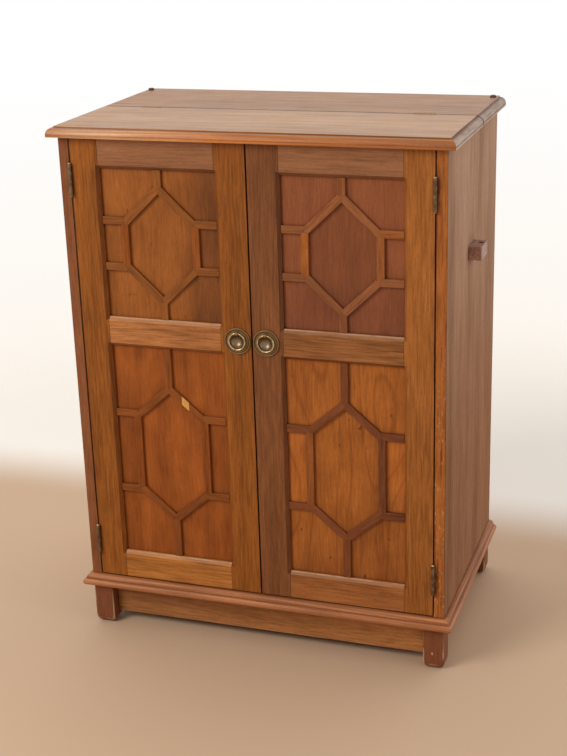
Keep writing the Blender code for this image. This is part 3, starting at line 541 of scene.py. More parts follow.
def metal(name, bright, dull, roughness=0.34, rubbed=0.5, dull_metal=0.4, grime_and_shade=0.6, pitted=0.25):
    """Aged metal: a dull, half-metallic tarnish, rubbed bright in patches and on the marked arrises."""
    recipe = Recipe(name)
    place = recipe.object_place()
    cloud = recipe.noise(place, 160.0, 5.0, 0.62)
    share = recipe.product(recipe.between(cloud, 0.38, 0.66), rubbed)
    share = recipe.math("MAXIMUM", share, recipe.attribute("arris"))
    body = recipe.mix(share, dull, bright)
    # Corners darken by how hidden they are: dirt, and painted shade.
    dirt_and_shade = recipe.product(recipe.corners(METAL_DIRT_AND_SHADE_REACH, 0.75, 0.35), grime_and_shade)
    body = recipe.mix(dirt_and_shade, body, tinted(dull, METAL_DIRT_AND_SHADE_SHARE))
    metallic = recipe.math("MULTIPLY_ADD", share, 1.0 - dull_metal, dull_metal)
    rough = recipe.math("MULTIPLY_ADD", cloud, 0.30, roughness - 0.15)
    normal = recipe.bump(recipe.noise(place, 900.0), PIT_DEPTH, pitted)
    return recipe.finish(Base_Color=body, Metallic=metallic, Roughness=rough, Normal=normal)


def rubber(name, tone):
    recipe = Recipe(name)
    cloud = recipe.noise(recipe.object_place(), 420.0, 3.0)
    body = recipe.mix(cloud, tinted(tone, (0.6, 0.6, 0.6)), tinted(tone, (1.8, 1.7, 1.6)))
    return recipe.finish(Base_Color=body, Roughness=0.6)


def middle_of(node):
    low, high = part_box(node)
    return (low + high) / 2


def node_shape(node):
    """A merged copy of a frame node's mesh, its flat faces whole again."""
    shape = bmesh.new()
    shape.from_mesh(frame["nodes"][node].data)
    bmesh.ops.remove_doubles(shape, verts=shape.verts, dist=MERGE)
    bmesh.ops.dissolve_limit(
        shape, angle_limit=FLAT, verts=shape.verts, edges=shape.edges, use_dissolve_boundaries=False
    )
    return shape


def face_layer(shape, name):
    """Values on a shape's faces, for a finish to read, 0 at first. It is made before any faces are picked."""
    layers = shape.faces.layers.float
    return layers.get(name) or layers.new(name)


def mark_faces(faces, layer, value):
    for face in faces:
        face[layer] = value


def round_edges(shape, edges, width, segments):
    """Rounds edges, and marks the new faces so that a finish can rub them."""
    arrises = face_layer(shape, "arris")
    made = bmesh.ops.bevel(
        shape,
        geom=edges,
        offset=width,
        offset_type="OFFSET",
        segments=segments,
        profile=0.5,
        material=-1,
        affect="EDGES",
        clamp_overlap=True,
    )
    mark_faces(made["faces"], arrises, 1.0)


def soften(shape, width):
    """Rounds a shape's long outer arrises."""
    edges = [
        edge
        for edge in shape.edges
        if edge.is_manifold
        and edge.is_convex
        and edge.calc_face_angle() > SHARP
        and edge.calc_length() > SHORT_EDGE
    ]
    round_edges(shape, edges, width, 2)
    return shape


def add_piece(name, shape, materials, node):
    """A finished piece from a bmesh, in place of a frame node. It rides with the node's body."""
    mesh = bpy.data.meshes.new(name)
    shape.to_mesh(mesh)
    shape.free()
    for material in materials:
        mesh.materials.append(material)
    mesh.shade_smooth()
    mesh.set_sharp_from_angle(angle=SMOOTH)
    piece = bpy.data.objects.new(name, mesh)
    bpy.context.scene.collection.objects.link(piece)
    even = piece.modifiers.new("even_shading", "WEIGHTED_NORMAL")
    even.keep_sharp = True
    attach(piece, BODY_OF[node])
    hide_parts(node)


def dress_board(node, arris, wood, end_wood=None):
    """A softened board. Faces that look sideways take the end wood, where one is given."""
    shape = soften(node_shape(node), arris)
    woods = [wood]
    if end_wood:
        woods.append(end_wood)
        for face in shape.faces:
            face.material_index = int(abs(face.normal.x) > abs(face.normal.y) + FACING)
    add_piece(f"{node}_timber", shape, woods, node)


def joined(shapes):
    """One bmesh of several shapes, with their layers kept."""
    whole = bmesh.new()
    for shape in shapes:
        part = bpy.data.meshes.new("part")
        shape.to_mesh(part)
        shape.free()
        whole.from_mesh(part)
        bpy.data.meshes.remove(part)
    return whole


def aimed(start, direction):
    """Moves a shape from the origin to a start, and turns its Z axis along a direction."""
    turn = Vector((0, 0, 1)).rotation_difference(Vector(direction)).to_matrix().to_4x4()
    return Matrix.Translation(Vector(start)) @ turn


def spun(profile, steps, start, direction):
    """A profile of (radius, height) turned about the line from start along direction."""
    shape = bmesh.new()
    verts = [shape.verts.new((radius, 0, height)) for radius, height in profile]
    edges = [shape.edges.new(pair) for pair in zip(verts, verts[1:])]
    bmesh.ops.spin(
        shape, geom=verts + edges, cent=(0, 0, 0), axis=(0, 0, 1), angle=math.tau, steps=steps, use_merge=True
    )
    bmesh.ops.remove_doubles(shape, verts=shape.verts, dist=FINE_MERGE)
    bmesh.ops.recalc_face_normals(shape, faces=shape.faces)
    shape.transform(aimed(start, direction))
    shape.normal_update()
    return shape


def cut(shape, point, outward, clear=False):
    """Cuts a shape along a plane. Clear takes off what lies past it."""
    bmesh.ops.bisect_plane(
        shape,
        geom=shape.verts[:] + shape.edges[:] + shape.faces[:],
        dist=FINE_MERGE,
        plane_co=point,
        plane_no=outward,
        clear_outer=clear,
    )


def open_edges(shape):
    return [edge for edge in shape.edges if edge.is_boundary]


def cut_off(shape, point, outward):
    """Cuts away what lies past a plane, and closes the cut."""
    cut(shape, point, outward, clear=True)
    bmesh.ops.holes_fill(shape, edges=open_edges(shape))


def shift_new(shape, made, step):
    """Moves what an extrusion has made."""
    verts = [item for item in made["geom"] if isinstance(item, bmesh.types.BMVert)]
    bmesh.ops.translate(shape, vec=step, verts=verts)


def push_faces(shape, faces, step):
    """Moves faces out or in, and closes the walls round them."""
    shift_new(shape, bmesh.ops.extrude_face_region(shape, geom=faces), step)
    bmesh.ops.delete(shape, geom=faces, context="FACES_ONLY")


def side_painted_sheen(recipe, place, body):
    """Side board: paler towards the top, a painted reflection."""
    woods = bpy.context.scene.cabinet_timber
    high_up = recipe.between(recipe.along(place, "Z"), *SHEEN_HEIGHTS)
    return retoned(recipe, recipe.product(high_up, 0.42), body, woods.side, woods.sheen_tone)


def edge_wear(recipe, place, body):
    """Right side board's front edge: dark and golden streaks, dirt by the hinges, and pale nicks low down."""
    woods = bpy.context.scene.cabinet_timber
    for stretch, share, change in EDGE_STREAKS:
        streak = recipe.between(recipe.noise(place, stretch, 4.0, 0.62), 0.49, 0.68)
        body = recipe.mix(recipe.product(streak, share), body, tinted(woods.side_edge, change))
    smudge = recipe.between(recipe.noise(place, (160.0, 60.0, 60.0), 3.0), 0.36, 0.60)
    for tier in LEVELS:
        offset = recipe.vector("SUBTRACT", place, middle_of(f"right_{tier}_hinge_side_leaf"))
        away = recipe.vector("LENGTH", recipe.vector("MULTIPLY", offset, (1.0, 0.0, 0.25)))
        dirt_and_shade = recipe.product(smudge, recipe.between(away, *HINGE_DIRT), 0.8)
        body = recipe.mix(dirt_and_shade, body, tinted(woods.side_edge, (0.16, 0.12, 0.12)))
    nicks = recipe.between(recipe.noise(place, (420.0, 60.0, 150.0)), 0.62, 0.70)
    low_down = recipe.between(recipe.along(place, "Z"), *NICK_HEIGHTS)
    return recipe.mix(recipe.product(nicks, low_down, 0.55), body, woods.rubbed)


def leaf_painted_shade(recipe, place, body, quirk_shade, step_shade):
    """Top leaf: painted shade in the quirk under its moulding's curve, on the step over the curve, and in the
    seam.
    """
    woods = bpy.context.scene.cabinet_timber
    sizes = bpy.context.scene.cabinet_sizes
    low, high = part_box("lid_leaf")
    patchy = recipe.between(recipe.noise(place, 45.0, 3.0), *PATCHES)
    from_quirk = recipe.from_line(place, "Z", low.z + sizes.top_fillet)
    widest = recipe.math("MULTIPLY_ADD", patchy, TOP_QUIRK_SHADE, TOP_QUIRK_SHADE)
    in_quirk = recipe.between(from_quirk, widest, QUIRK_DEEP)
    step = high.z - sizes.top_quirk
    height = recipe.along(place, "Z")
    up_to_step = recipe.between(height, step - STEP_SHADE, step)
    on_step = recipe.product(up_to_step, recipe.between(height, high.z, step))
    dark = tinted(woods.moulding, (0.30, 0.21, 0.16))
    for share, dirt_and_shade in ((in_quirk, quirk_shade), (on_step, step_shade)):
        body = recipe.mix(recipe.product(share, dirt_and_shade), body, dark)
    # A dark band along the seam: painted shade of its gap.
    seam = (high.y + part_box("rear_top_leaf")[0].y) / 2
    in_seam = recipe.between(recipe.from_line(place, "Y", seam), *SEAM_SHADE)
    return recipe.mix(recipe.product(in_seam, 0.9), body, woods.soot_and_seam_shade)


def leaf_wear(recipe, place, body):
    """Top leaf: a warm front moulding that pales to the left, short of its end, and darkens to the right."""
    woods = bpy.context.scene.cabinet_timber
    front = recipe.between(recipe.along(recipe.facing(), "Z"), 0.97, 0.85)
    body = retoned(recipe, front, body, woods.top, woods.moulding)
    along = recipe.along(place, "X")
    inward = recipe.product(front, recipe.between(along, *MOULDING_END))
    for reach, change in MOULDING_CHANGES:
        body = recipe.shaded(recipe.product(recipe.between(along, 0.0, reach), inward), body, change)
    # The leaf's painted shade in its quirk, on its step and along its seam.
    return leaf_painted_shade(recipe, place, body, 0.38, 0.40)


# Ends of the top: only painted shade in the quirk, on the step and along the seam.
def leaf_end_shade(recipe, place, body):
    return leaf_painted_shade(recipe, place, body, 0.85, 0.75)


class CABINET_OT_top(bpy.types.Operator):
    """Dress the two moulded leaves of the top"""

    bl_idname = "cabinet.top"
    bl_label = "Top"

    def execute(self, context):
        woods = context.scene.cabinet_timber
        arris = context.scene.cabinet_sizes.board_arris
        for node, tone, streaks in (("lid_leaf", woods.top, 1.7), ("rear_top_leaf", woods.rear_top, 2.3)):
            figure = {"bands": 0.6, "streaks": streaks, "mottle": 0.4, "reach": 4.0, "shine": 0.42}
            wood = timber(f"{node}_wood", tone, "X", rub=0.25, marks=leaf_wear, **figure)
            end_name = f"{node}_end_wood"
            end_wood = timber(end_name, woods.end_grain, "Y", shine=0.10, rub=0.25, marks=leaf_end_shade)
            dress_board(node, arris, wood, end_wood)
        return {"FINISHED"}


class CABINET_OT_sides(bpy.types.Operator):
    """Dress the side boards and their lifting lugs"""

    bl_idname = "cabinet.sides"
    bl_label = "Sides and lugs"

    def execute(self, context):
        woods = context.scene.cabinet_timber
        sizes = context.scene.cabinet_sizes
        figure = {"streaks": 0.85, "mottle": 0.5, "width": 2.0, "reach": 2.5, "shine": 0.0, "grime_and_shade": 0.3}
        for hand, edge_tone, wear in (("left", woods.left_edge, None), ("right", woods.side_edge, edge_wear)):
            edge_wood = timber(f"{hand}_side_edge_wood", edge_tone, "Z", streaks=1.0, rub=0.4, marks=wear)
            wood = timber(f"{hand}_side_wood", woods.side, "Z", rub=0.4, marks=side_painted_sheen, **figure)
            dress_board(f"{hand}_side", sizes.side_arris, edge_wood, wood)
            wood = timber(f"{hand}_lug_wood", woods.lug, "Y", shine=0.12, rub=0.15)
            dress_board(f"{hand}_lug", sizes.board_arris, wood)
        return {"FINISHED"}


def base_quirk_shade(recipe, place, body):
    """Painted shade in the quirk over the base moulding's bead."""
    woods = bpy.context.scene.cabinet_timber
    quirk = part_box("base_board")[0].z + bpy.context.scene.cabinet_sizes.base_bead
    dirt_and_shade = recipe.between(recipe.from_line(place, "Z", quirk), BASE_QUIRK_SHADE, QUIRK_DEEP)
    return recipe.mix(recipe.product(dirt_and_shade, 0.42), body, tinted(woods.base, DIRT_AND_SHADE_SHARE))


def plinth_shadow_and_tone(recipe, place, body):
    """Plinth rail: a painted shadow under the moulding, and darker to the left."""
    woods = bpy.context.scene.cabinet_timber
    under_top, at_top = (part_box("front_plinth_rail")[1].z - depth for depth in PLINTH_SHADOW)
    dirt_and_shade = recipe.between(recipe.along(place, "Z"), under_top, at_top)
    body = recipe.mix(recipe.product(dirt_and_shade, 0.42), body, tinted(woods.plinth, DIRT_AND_SHADE_SHARE))
    leftward = recipe.between(recipe.along(place, "X"), PLINTH_TURN, -PLINTH_TURN)
    return recipe.shaded(leftward, body, (0.72, 0.72, 0.74))


def foot_wear(recipe, place, body):
    """Foot: its upright arrises are rubbed pale towards the floor."""
    facing = recipe.vector("ABSOLUTE", recipe.facing())
    corner = recipe.math("MINIMUM", recipe.along(facing, "X"), recipe.along(facing, "Y"))
    low_down = recipe.between(recipe.along(place, "Z"), *FOOT_RUB_HEIGHTS)
    patchy = recipe.between(recipe.noise(place, (120.0, 120.0, 40.0), 3.0), 0.40, 0.56)
    rubbed = recipe.product(recipe.between(corner, 0.25, 0.55), patchy, low_down, 0.8)
    return recipe.mix(rubbed, body, bpy.context.scene.cabinet_timber.rubbed)


def nicked_foot_wear(recipe, place, body):
    """Front right foot: rubbed as the others, with a pale nick low on its face."""
    body = foot_wear(recipe, place, body)
    low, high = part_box("front_right_foot")
    spot = Vector((low.x + 0.45 * (high.x - low.x), low.y, FOOT_NICK_HEIGHT))
    offset = recipe.vector("SUBTRACT", place, spot)
    away = recipe.vector("LENGTH", recipe.vector("MULTIPLY", offset, (1.0, 1.0, 0.6)))
    ragged = recipe.math("MULTIPLY_ADD", recipe.noise(place, 500.0), FOOT_NICK_RAGGED, away)
    nick = recipe.product(recipe.between(ragged, *FOOT_NICK), 0.8)
    return recipe.mix(nick, body, bpy.context.scene.cabinet_timber.rubbed)


def round_toe(shape, box, radius):
    """Rounds a foot's bottom and lower corners further than its solid, as wear has done."""
    centre = (box[0] + box[1]) / 2
    half = (box[1] - box[0]) / 2
    worn = radius * TOE_CUTS[-1]
    for share in TOE_CUTS:
        cut(shape, (0, 0, radius * share), (0, 0, 1))
    for vert in shape.verts:
        rise = vert.co.z
        if rise >= worn:
            continue
        inset = radius - math.sqrt(radius**2 - max(0.0, radius - rise) ** 2)
        corner = radius * (1 - rise / worn)
        flat = Vector((half.x - inset - corner, half.y - inset - corner))
        offset = Vector((vert.co.x - centre.x, vert.co.y - centre.y))
        past = Vector([max(0.0, abs(part) - most) for part, most in zip(offset, flat)])
        if past.length > corner:
            past *= corner / past.length
        for axis in (0, 1):
            if abs(offset[axis]) > flat[axis]:
                vert.co[axis] = centre[axis] + math.copysign(flat[axis] + past[axis], offset[axis])
    shape.normal_update()


class CABINET_OT_base(bpy.types.Operator):
    """Dress the moulded base, the plinth rails and the feet"""

    bl_idname = "cabinet.base"
    bl_label = "Base, plinth and feet"

    def execute(self, context):
        woods = context.scene.cabinet_timber
        sizes = context.scene.cabinet_sizes
        runs = [
            timber(f"base_{run}_wood", woods.base, axis, streaks=2.0, reach=4.0, rub=0.3, marks=base_quirk_shade)
            for run, axis in (("front", "X"), ("side", "Y"))
        ]
        dress_board("base_board", sizes.board_arris, *runs)
        for place, axis in (("front", "X"), ("back", "X"), ("left", "Y"), ("right", "Y")):
            wood = timber(f"{place}_plinth_wood", woods.plinth, axis, rub=0.7, marks=plinth_shadow_and_tone)
            dress_board(f"{place}_plinth_rail", sizes.board_arris, wood)
        figure = {"bands": 0.4, "streaks": 0.6, "mottle": 0.4, "rub": 0.4}
        for node in ("front_left_foot", "front_right_foot", "rear_left_foot", "rear_right_foot"):
            wear = nicked_foot_wear if node == "front_right_foot" else foot_wear
            wood = timber(f"{node}_wood", woods.foot, "Z", marks=wear, **figure)
            shape = soften(node_shape(node), sizes.foot_arris)
            round_toe(shape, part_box(node), sizes.foot_toe)
            rounded = [face for face in shape.faces if max(abs(part) for part in face.normal) < ROUNDED]
            mark_faces(rounded, face_layer(shape, "arris"), 1.0)
            add_piece(f"{node}_timber", shape, [wood], node)
        return {"FINISHED"}


def chamfer_shade_and_highlight(recipe, place, body):
    """Door frame: painted shade on the chamfers round the panels that don't look up, and a painted highlight,
    partly rubbed wear, on those that look up, paler on the ledges by the panels.
    """
    width = bpy.context.scene.cabinet_sizes.chamfer
    facing = recipe.facing()
    front = recipe.along(facing, "Y")
    sloped = recipe.product(recipe.between(front, -0.96, -0.84), recipe.between(front, -0.35, -0.55))
    upward = recipe.product(recipe.between(recipe.along(facing, "Z"), 0.40, 0.60), sloped)
    # Chamfers that don't look up are darkened: painted shade.
    painted_chamfer_shade = recipe.product(recipe.math("SUBTRACT", sloped, upward), 0.7)
    body = recipe.shaded(painted_chamfer_shade, body, (0.66, 0.60, 0.56))
    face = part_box("left_hinge_stile")[0].y
    inward = recipe.between(recipe.along(place, "Y"), face + width * 0.45, face + width * 0.85)
    patchy = recipe.between(recipe.noise(place, 40.0, 3.0), *PATCHES)
    share = recipe.math("MULTIPLY_ADD", recipe.product(inward, patchy), 0.50, 0.16)
    # Chamfers that look up are paled: a painted highlight, partly rubbed wear, strongest in patches towards
    # the panel.
    return recipe.mix(recipe.product(share, upward), body, bpy.context.scene.cabinet_timber.rubbed)


class CABINET_OT_door_frames(bpy.types.Operator):
    """Dress the doors' stiles and rails"""

    bl_idname = "cabinet.door_frames"
    bl_label = "Door frames"

    def execute(self, context):
        woods = context.scene.cabinet_timber
        sizes = context.scene.cabinet_sizes
        members = {
            "left_hinge_stile": (woods.golden, 1.6),
            "left_meeting_stile": (woods.golden, 1.5),
            "left_top_rail": (woods.rail, 0.95),
            "left_middle_rail": (woods.ledge, 1.65),
            "left_bottom_rail": (woods.foot_rail, 1.6),
            "right_hinge_stile": (woods.amber_stile, 1.45),
            "right_meeting_stile": (woods.dark, 1.3),
            "right_top_rail": (woods.rail, 1.05),
            "right_middle_rail": (woods.right_ledge, 1.75),
            "right_bottom_rail": (woods.low_rail, 1.45),
        }
        for node, (tone, streaks) in members.items():
            axis = "Z" if node.endswith("stile") else "X"
            wood = timber(f"{node}_wood", tone, axis, streaks=streaks, reach=1.3, marks=chamfer_shade_and_highlight)
            dress_board(node, sizes.frame_arris, wood)
        return {"FINISHED"}


def darkened(recipe, place, body, node, across, down, start, end, share):
    """Darkens a panel or a lattice to its right (across) and its bottom (down), from start to end.

    Its middle lies at 0, and its edges at -0.5 and 0.5.
    """
    low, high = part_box(node)
    size = high - low
    offset = recipe.vector("SUBTRACT", place, (low + high) / 2)
    offset = recipe.vector("MULTIPLY", offset, (across / size.x, 0, -down / size.z))
    along = recipe.math("ADD", recipe.along(offset, "X"), recipe.along(offset, "Z"))
    return recipe.shaded(recipe.between(along, start, end), body, (1 - share, 1 - share, 1 - share / 2))


def hexagon(name, sizes):
    """Half a lattice hexagon's outer width, the height of its upper corner, and the slope of its sides."""
    upper = name.endswith("upper")
    stem = sizes.upper_stem if upper else sizes.lower_stem
    rise = sizes.upper_rise if upper else sizes.lower_rise
    low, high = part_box(f"{name}_lattice")
    outer = (high.x - low.x) / 2 - sizes.arm
    return outer, (high.z - low.z) / 2 - stem, math.atan2(rise, outer - sizes.strip_width)


def field_tones(recipe, place, body, name, corners, beside):
    """Tones of a panel's fields against its hexagon: the four corners, and the two beside the hexagon.

    The tones change under the lattice's strips.
    """
    sizes = bpy.context.scene.cabinet_sizes
    outer, crown, slope = hexagon(name, sizes)
    offset = recipe.vector("SUBTRACT", place, middle_of(f"{name}_lattice"))
    offset = recipe.vector("ABSOLUTE", offset)
    aside = recipe.along(offset, "X")
    limit = recipe.math("MULTIPLY_ADD", recipe.math("MINIMUM", aside, outer), -math.tan(slope), crown)
    over = recipe.math("SUBTRACT", recipe.along(offset, "Z"), limit)
    in_corner = recipe.between(over, *CORNER_TURN)
    outside = recipe.between(aside, *(outer + part for part in SIDE_TURN))
    in_side = recipe.product(outside, recipe.math("SUBTRACT", 1.0, in_corner))
    for share, change in ((in_corner, corners), (in_side, beside)):
        body = recipe.shaded(share, body, (change, change, change))
    return body


def panel_marks(name, fields, fall, specks):
    """Wear of one panel: the tones of its fields, how it darkens, and how strong its dark specks are."""

    def marks(recipe, place, body):
        body = field_tones(recipe, place, body, name, *fields)
        if fall:
            body = darkened(recipe, place, body, f"{name}_panel", *fall)
        spots = recipe.between(recipe.noise(place, (140.0, 140.0, 80.0), detail=0.0), 0.79, 0.85)
        return recipe.mix(recipe.product(spots, specks), body, bpy.context.scene.cabinet_timber.soot_and_seam_shade)

    return marks


class CABINET_OT_panels(bpy.types.Operator):
    """Dress the doors' panels, each in its own figure"""

    bl_idname = "cabinet.panels"
    bl_label = "Panels"

    def execute(self, context):
        woods = context.scene.cabinet_timber
        panels = {
            "left_upper": (woods.honey, (1.0, 1.0), (1.0, 0.1, 0.12, 0.36, 0.35), 0.3),
            "left_lower": (woods.chestnut, (0.91, 0.78), None, 0.0),
            "right_upper": (woods.mahogany, (1.18, 1.22), (0.1, 1.0, 0.0, 0.38, 0.20), 0.0),
            "right_lower": (woods.amber, (1.09, 1.29), (0.4, 1.0, 0.0, 0.38, 0.19), 0.5),
        }
        figures = {
            "left_upper": {"mottle": 0.9, "streaks": 0.74, "lines": 0.05},
            "left_lower": {"mottle": 1.0, "bands": 0.7, "streaks": 0.68},
            "right_upper": {"mottle": 0.5, "bands": 0.5, "streaks": 0.64},
            "right_lower": {"mottle": 0.9, "streaks": 0.95, "lines": 0.36},
        }
        for name, (tone, *wear) in panels.items():
            node = f"{name}_panel"
            figure = {"bands": 0.4, "pores": 0.2, "rub": 0.0, "grime_and_shade": 0.45, **figures[name]}
            wood = timber(f"{node}_wood", tone, "Z", marks=panel_marks(name, *wear), **figure)
            add_piece(f"{node}_timber", node_shape(node), [wood], node)
        return {"FINISHED"}


def strip_between(start, end, box, sizes, number):
    """A lattice strip along the line between two points of a panel, with rounded front arrises.

    Its own coordinates stay in an attribute, so that the grain follows the strip.
    """
    low, high = box
    along = end - start
    width = sizes.strip_width
    shape = bmesh.new()
    bmesh.ops.create_cube(shape, size=1)
    bmesh.ops.scale(shape, vec=(along.length + 2 * width, high.y - low.y, width), verts=shape.verts)
    front = [
        edge
        for edge in shape.edges
        if all(vert.co.y < 0 for vert in edge.verts) and abs(edge.verts[0].co.z - edge.verts[1].co.z) < MERGE
    ]
    round_edges(shape, front, sizes.strip_arris, 3)
    own = shape.verts.layers.float_vector.new("strip")
    for vert in shape.verts:
        vert[own] = vert.co + STRIP_SHIFT * number
    turn = Matrix.Rotation(-math.atan2(along.z, along.x), 4, "Y")
    middle = (start + end) / 2
    middle.y = (low.y + high.y) / 2
    shape.transform(Matrix.Translation(middle) @ turn)
    return shape


def mitre(shape, joint, corner, keep, gap):
    """Cuts a strip along the line from a joint to a corner, and keeps the side that a point lies on."""
    line = corner - joint
    outward = Vector((line.z, 0, -line.x)).normalized()
    if outward.dot(keep - joint) > 0:
        outward = -outward
    cut_off(shape, joint - outward * gap / 2, outward)


def lattice_strips(name, sizes):
    """The strips of one lattice: a hexagon with a stem above and below and two arms on each side."""
    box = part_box(f"{name}_lattice")
    low, high = box
    centre = (low + high) / 2
    width = sizes.strip_width
    wall = (high.x - low.x) / 2
    tall = (high.z - low.z) / 2
    outer, crown, slope = hexagon(name, sizes)
    inner = outer - width
    shoulder = crown - outer * math.tan(slope)
    upright = inner + width / 2
    apex = crown - width / 2 / math.cos(slope)
    knee = apex - upright * math.tan(slope)
    inner_crown = crown - width / math.cos(slope)
    inner_knee = inner_crown - inner * math.tan(slope)

    def point(x, z):
        return Vector((centre.x + x, centre.y, centre.z + z))

    shapes = []

    def add(start, end, cuts):
        shape = strip_between(start, end, box, sizes, len(shapes))
        for joint, corner in cuts:
            mitre(shape, joint, corner, (start + end) / 2, sizes.strip_joint)
        for face, outward in ((low.x, -1), (high.x, 1)):
            cut_off(shape, Vector((face, 0, 0)), (outward, 0, 0))
        for face, outward in ((low.z, -1), (high.z, 1)):
            cut_off(shape, Vector((0, 0, face)), (0, 0, outward))
        shapes.append(shape)

    for up in (1, -1):
        top = point(0, up * apex)
        stem_end = up * (crown - width / 2 * math.tan(slope))
        stem_foot = {side: point(side * width / 2, stem_end) for side in (1, -1)}
        inner_top = point(0, up * inner_crown)
        add(top, point(0, up * tall), [(top, stem_foot[1]), (top, stem_foot[-1])])
        for side in (1, -1):
            bend = point(side * upright, up * knee)
            above = point(side * (outer - width / 2 / math.tan(slope)), up * (shoulder + width / 2))
            below = point(side * outer, up * (shoulder - width / 2))
            within = point(side * inner, up * inner_knee)
            add(top, bend, [(top, stem_foot[side]), (top, inner_top), (bend, above), (bend, within)])
            arm = point(side * upright, up * shoulder), point(side * wall, up * shoulder)
            add(*arm, [(bend, above), (bend, below)])
    for side in (1, -1):
        cuts = []
        for up in (1, -1):
            bend = point(side * upright, up * knee)
            cuts.append((bend, point(side * outer, up * (shoulder - width / 2))))
            cuts.append((bend, point(side * inner, up * inner_knee)))
        add(point(side * upright, knee), point(side * upright, -knee), cuts)
    return shapes


def chip_strip(shape, start, end, depth):
    """Splits a flake off a strip's face between two upright lines, and marks the bare wood."""
    bare = face_layer(shape, "bare")
    for place in (start, end):
        cut(shape, (place, 0, 0), (1, 0, 0))

    def chipped(least):
        """Faces between the lines that look forward by at least a share."""
        faces = [face for face in shape.faces if start < face.calc_center_median().x < end]
        return [face for face in faces if face.normal.y < -least]

    push_faces(shape, chipped(0.5), (0, depth, 0))
    mark_faces(chipped(0.2), bare, 1.0)


def strip_marks(node, tone, warm_tone, fall):
    """Wear of one lattice: how it darkens, a warmer tone on some strips, and the bare wood in a chip."""

    def marks(recipe, place, body):
        bare = bpy.context.scene.cabinet_timber.bare
        if fall:
            body = darkened(recipe, place, body, node, *fall)
        body = retoned(recipe, recipe.attribute("warm"), body, tone, warm_tone)
        streak = recipe.noise(place, (500.0, 500.0, 140.0), 3.0)
        fresh = recipe.mix(streak, tinted(bare, (0.72, 0.62, 0.5)), tinted(bare, (1.2, 1.25, 1.3)))
        return recipe.mix(recipe.attribute("bare"), body, fresh)

    return marks


class CABINET_OT_lattices(bpy.types.Operator):
    """Lay the hexagonal lattices, strip by strip"""

    bl_idname = "cabinet.lattices"
    bl_label = "Lattices"

    def execute(self, context):
        woods = context.scene.cabinet_timber
        sizes = context.scene.cabinet_sizes
        lattices = {
            "left_upper": (woods.strip_gold, woods.strip_red, None),
            "left_lower": (woods.strip_brown, woods.strip_red, (0.0, 1.0, 0.0, 0.4, 0.12)),
            "right_upper": (woods.strip_rust, woods.strip_orange, (0.0, 1.0, -0.1, 0.4, 0.18)),
            "right_lower": (woods.strip_dark, woods.strip_orange, (1.0, 0.0, 0.0, 0.45, 0.15)),
        }
        for name, (tone, warm_tone, fall) in lattices.items():
            node = f"{name}_lattice"
            shapes = lattice_strips(name, sizes)
            for number, share in WARM_STRIPS[name].items():
                warm = face_layer(shapes[number], "warm")
                mark_faces(shapes[number].faces, warm, share)
            if name == "left_lower":
                start = middle_of(node).x + sizes.chip_start
                chip_strip(shapes[CHIPPED_STRIP], start, start + sizes.chip_length, sizes.chip_depth)
            marks = strip_marks(node, tone, warm_tone, fall)
            wood = timber(f"{node}_wood", tone, "X", place_from="strip", rub=0.0, grime_and_shade=0.3, marks=marks)
            add_piece(f"{node}_strips", joined(shapes), [wood], node)
        return {"FINISHED"}


def screw_head(radius, slot, rise, place, outward, turn):
    """A slotted screw head: a low disc sunk a little into its leaf, its slot between two raised halves."""
    shape = bmesh.new()
    bmesh.ops.create_circle(shape, cap_ends=True, segments=20, radius=radius)
    for side in (1, -1):
        cut(shape, (0, side * slot / 2, 0), (0, 1, 0))
    for half in [face for face in shape.faces if abs(face.calc_center_median().y) > slot / 2]:
        push_faces(shape, [half], (0, 0, rise))
    shift_new(shape, bmesh.ops.extrude_edge_only(shape, edges=open_edges(shape)), (0, 0, -rise))
    bmesh.ops.holes_fill(shape, edges=open_edges(shape))
    bmesh.ops.recalc_face_normals(shape, faces=shape.faces)
    shape.transform(aimed(place, outward) @ Matrix.Rotation(turn, 4, "Z"))
    return shape


def screwed_leaf(node, face, outward, radius, sizes):
    """A hinge leaf with a row of screws along its plate. Face is the plate's middle on its open side.

    The ends of an upright leaf are marked as rubbed, and so are the screws.
    """
    low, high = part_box(node)
    spread = (high - low) * SCREW_SPREAD
    upright = spread.z > spread.x
    along = Vector((0, 0, spread.z)) if upright else Vector((spread.x, 0, 0))
    plate = node_shape(node)
    arrises = face_layer(plate, "arris")
    for end in (low.z, high.z) if upright else ():
        near = [part for part in plate.faces if abs(part.calc_center_median().z - end) < sizes.hinge_tip]
        mark_faces(near, arrises, RUBBED_TIP)
    shapes = [plate]
    for number, share in enumerate((-1, 0, 1), 1):
        place = face + along * share
        head = screw_head(radius, sizes.screw_slot, sizes.screw_rise, place, outward, SCREW_TURN * number)
        arrises = face_layer(head, "arris")
        mark_faces(head.faces, arrises, RUBBED_SCREW)
        shapes.append(head)
    return joined(shapes)


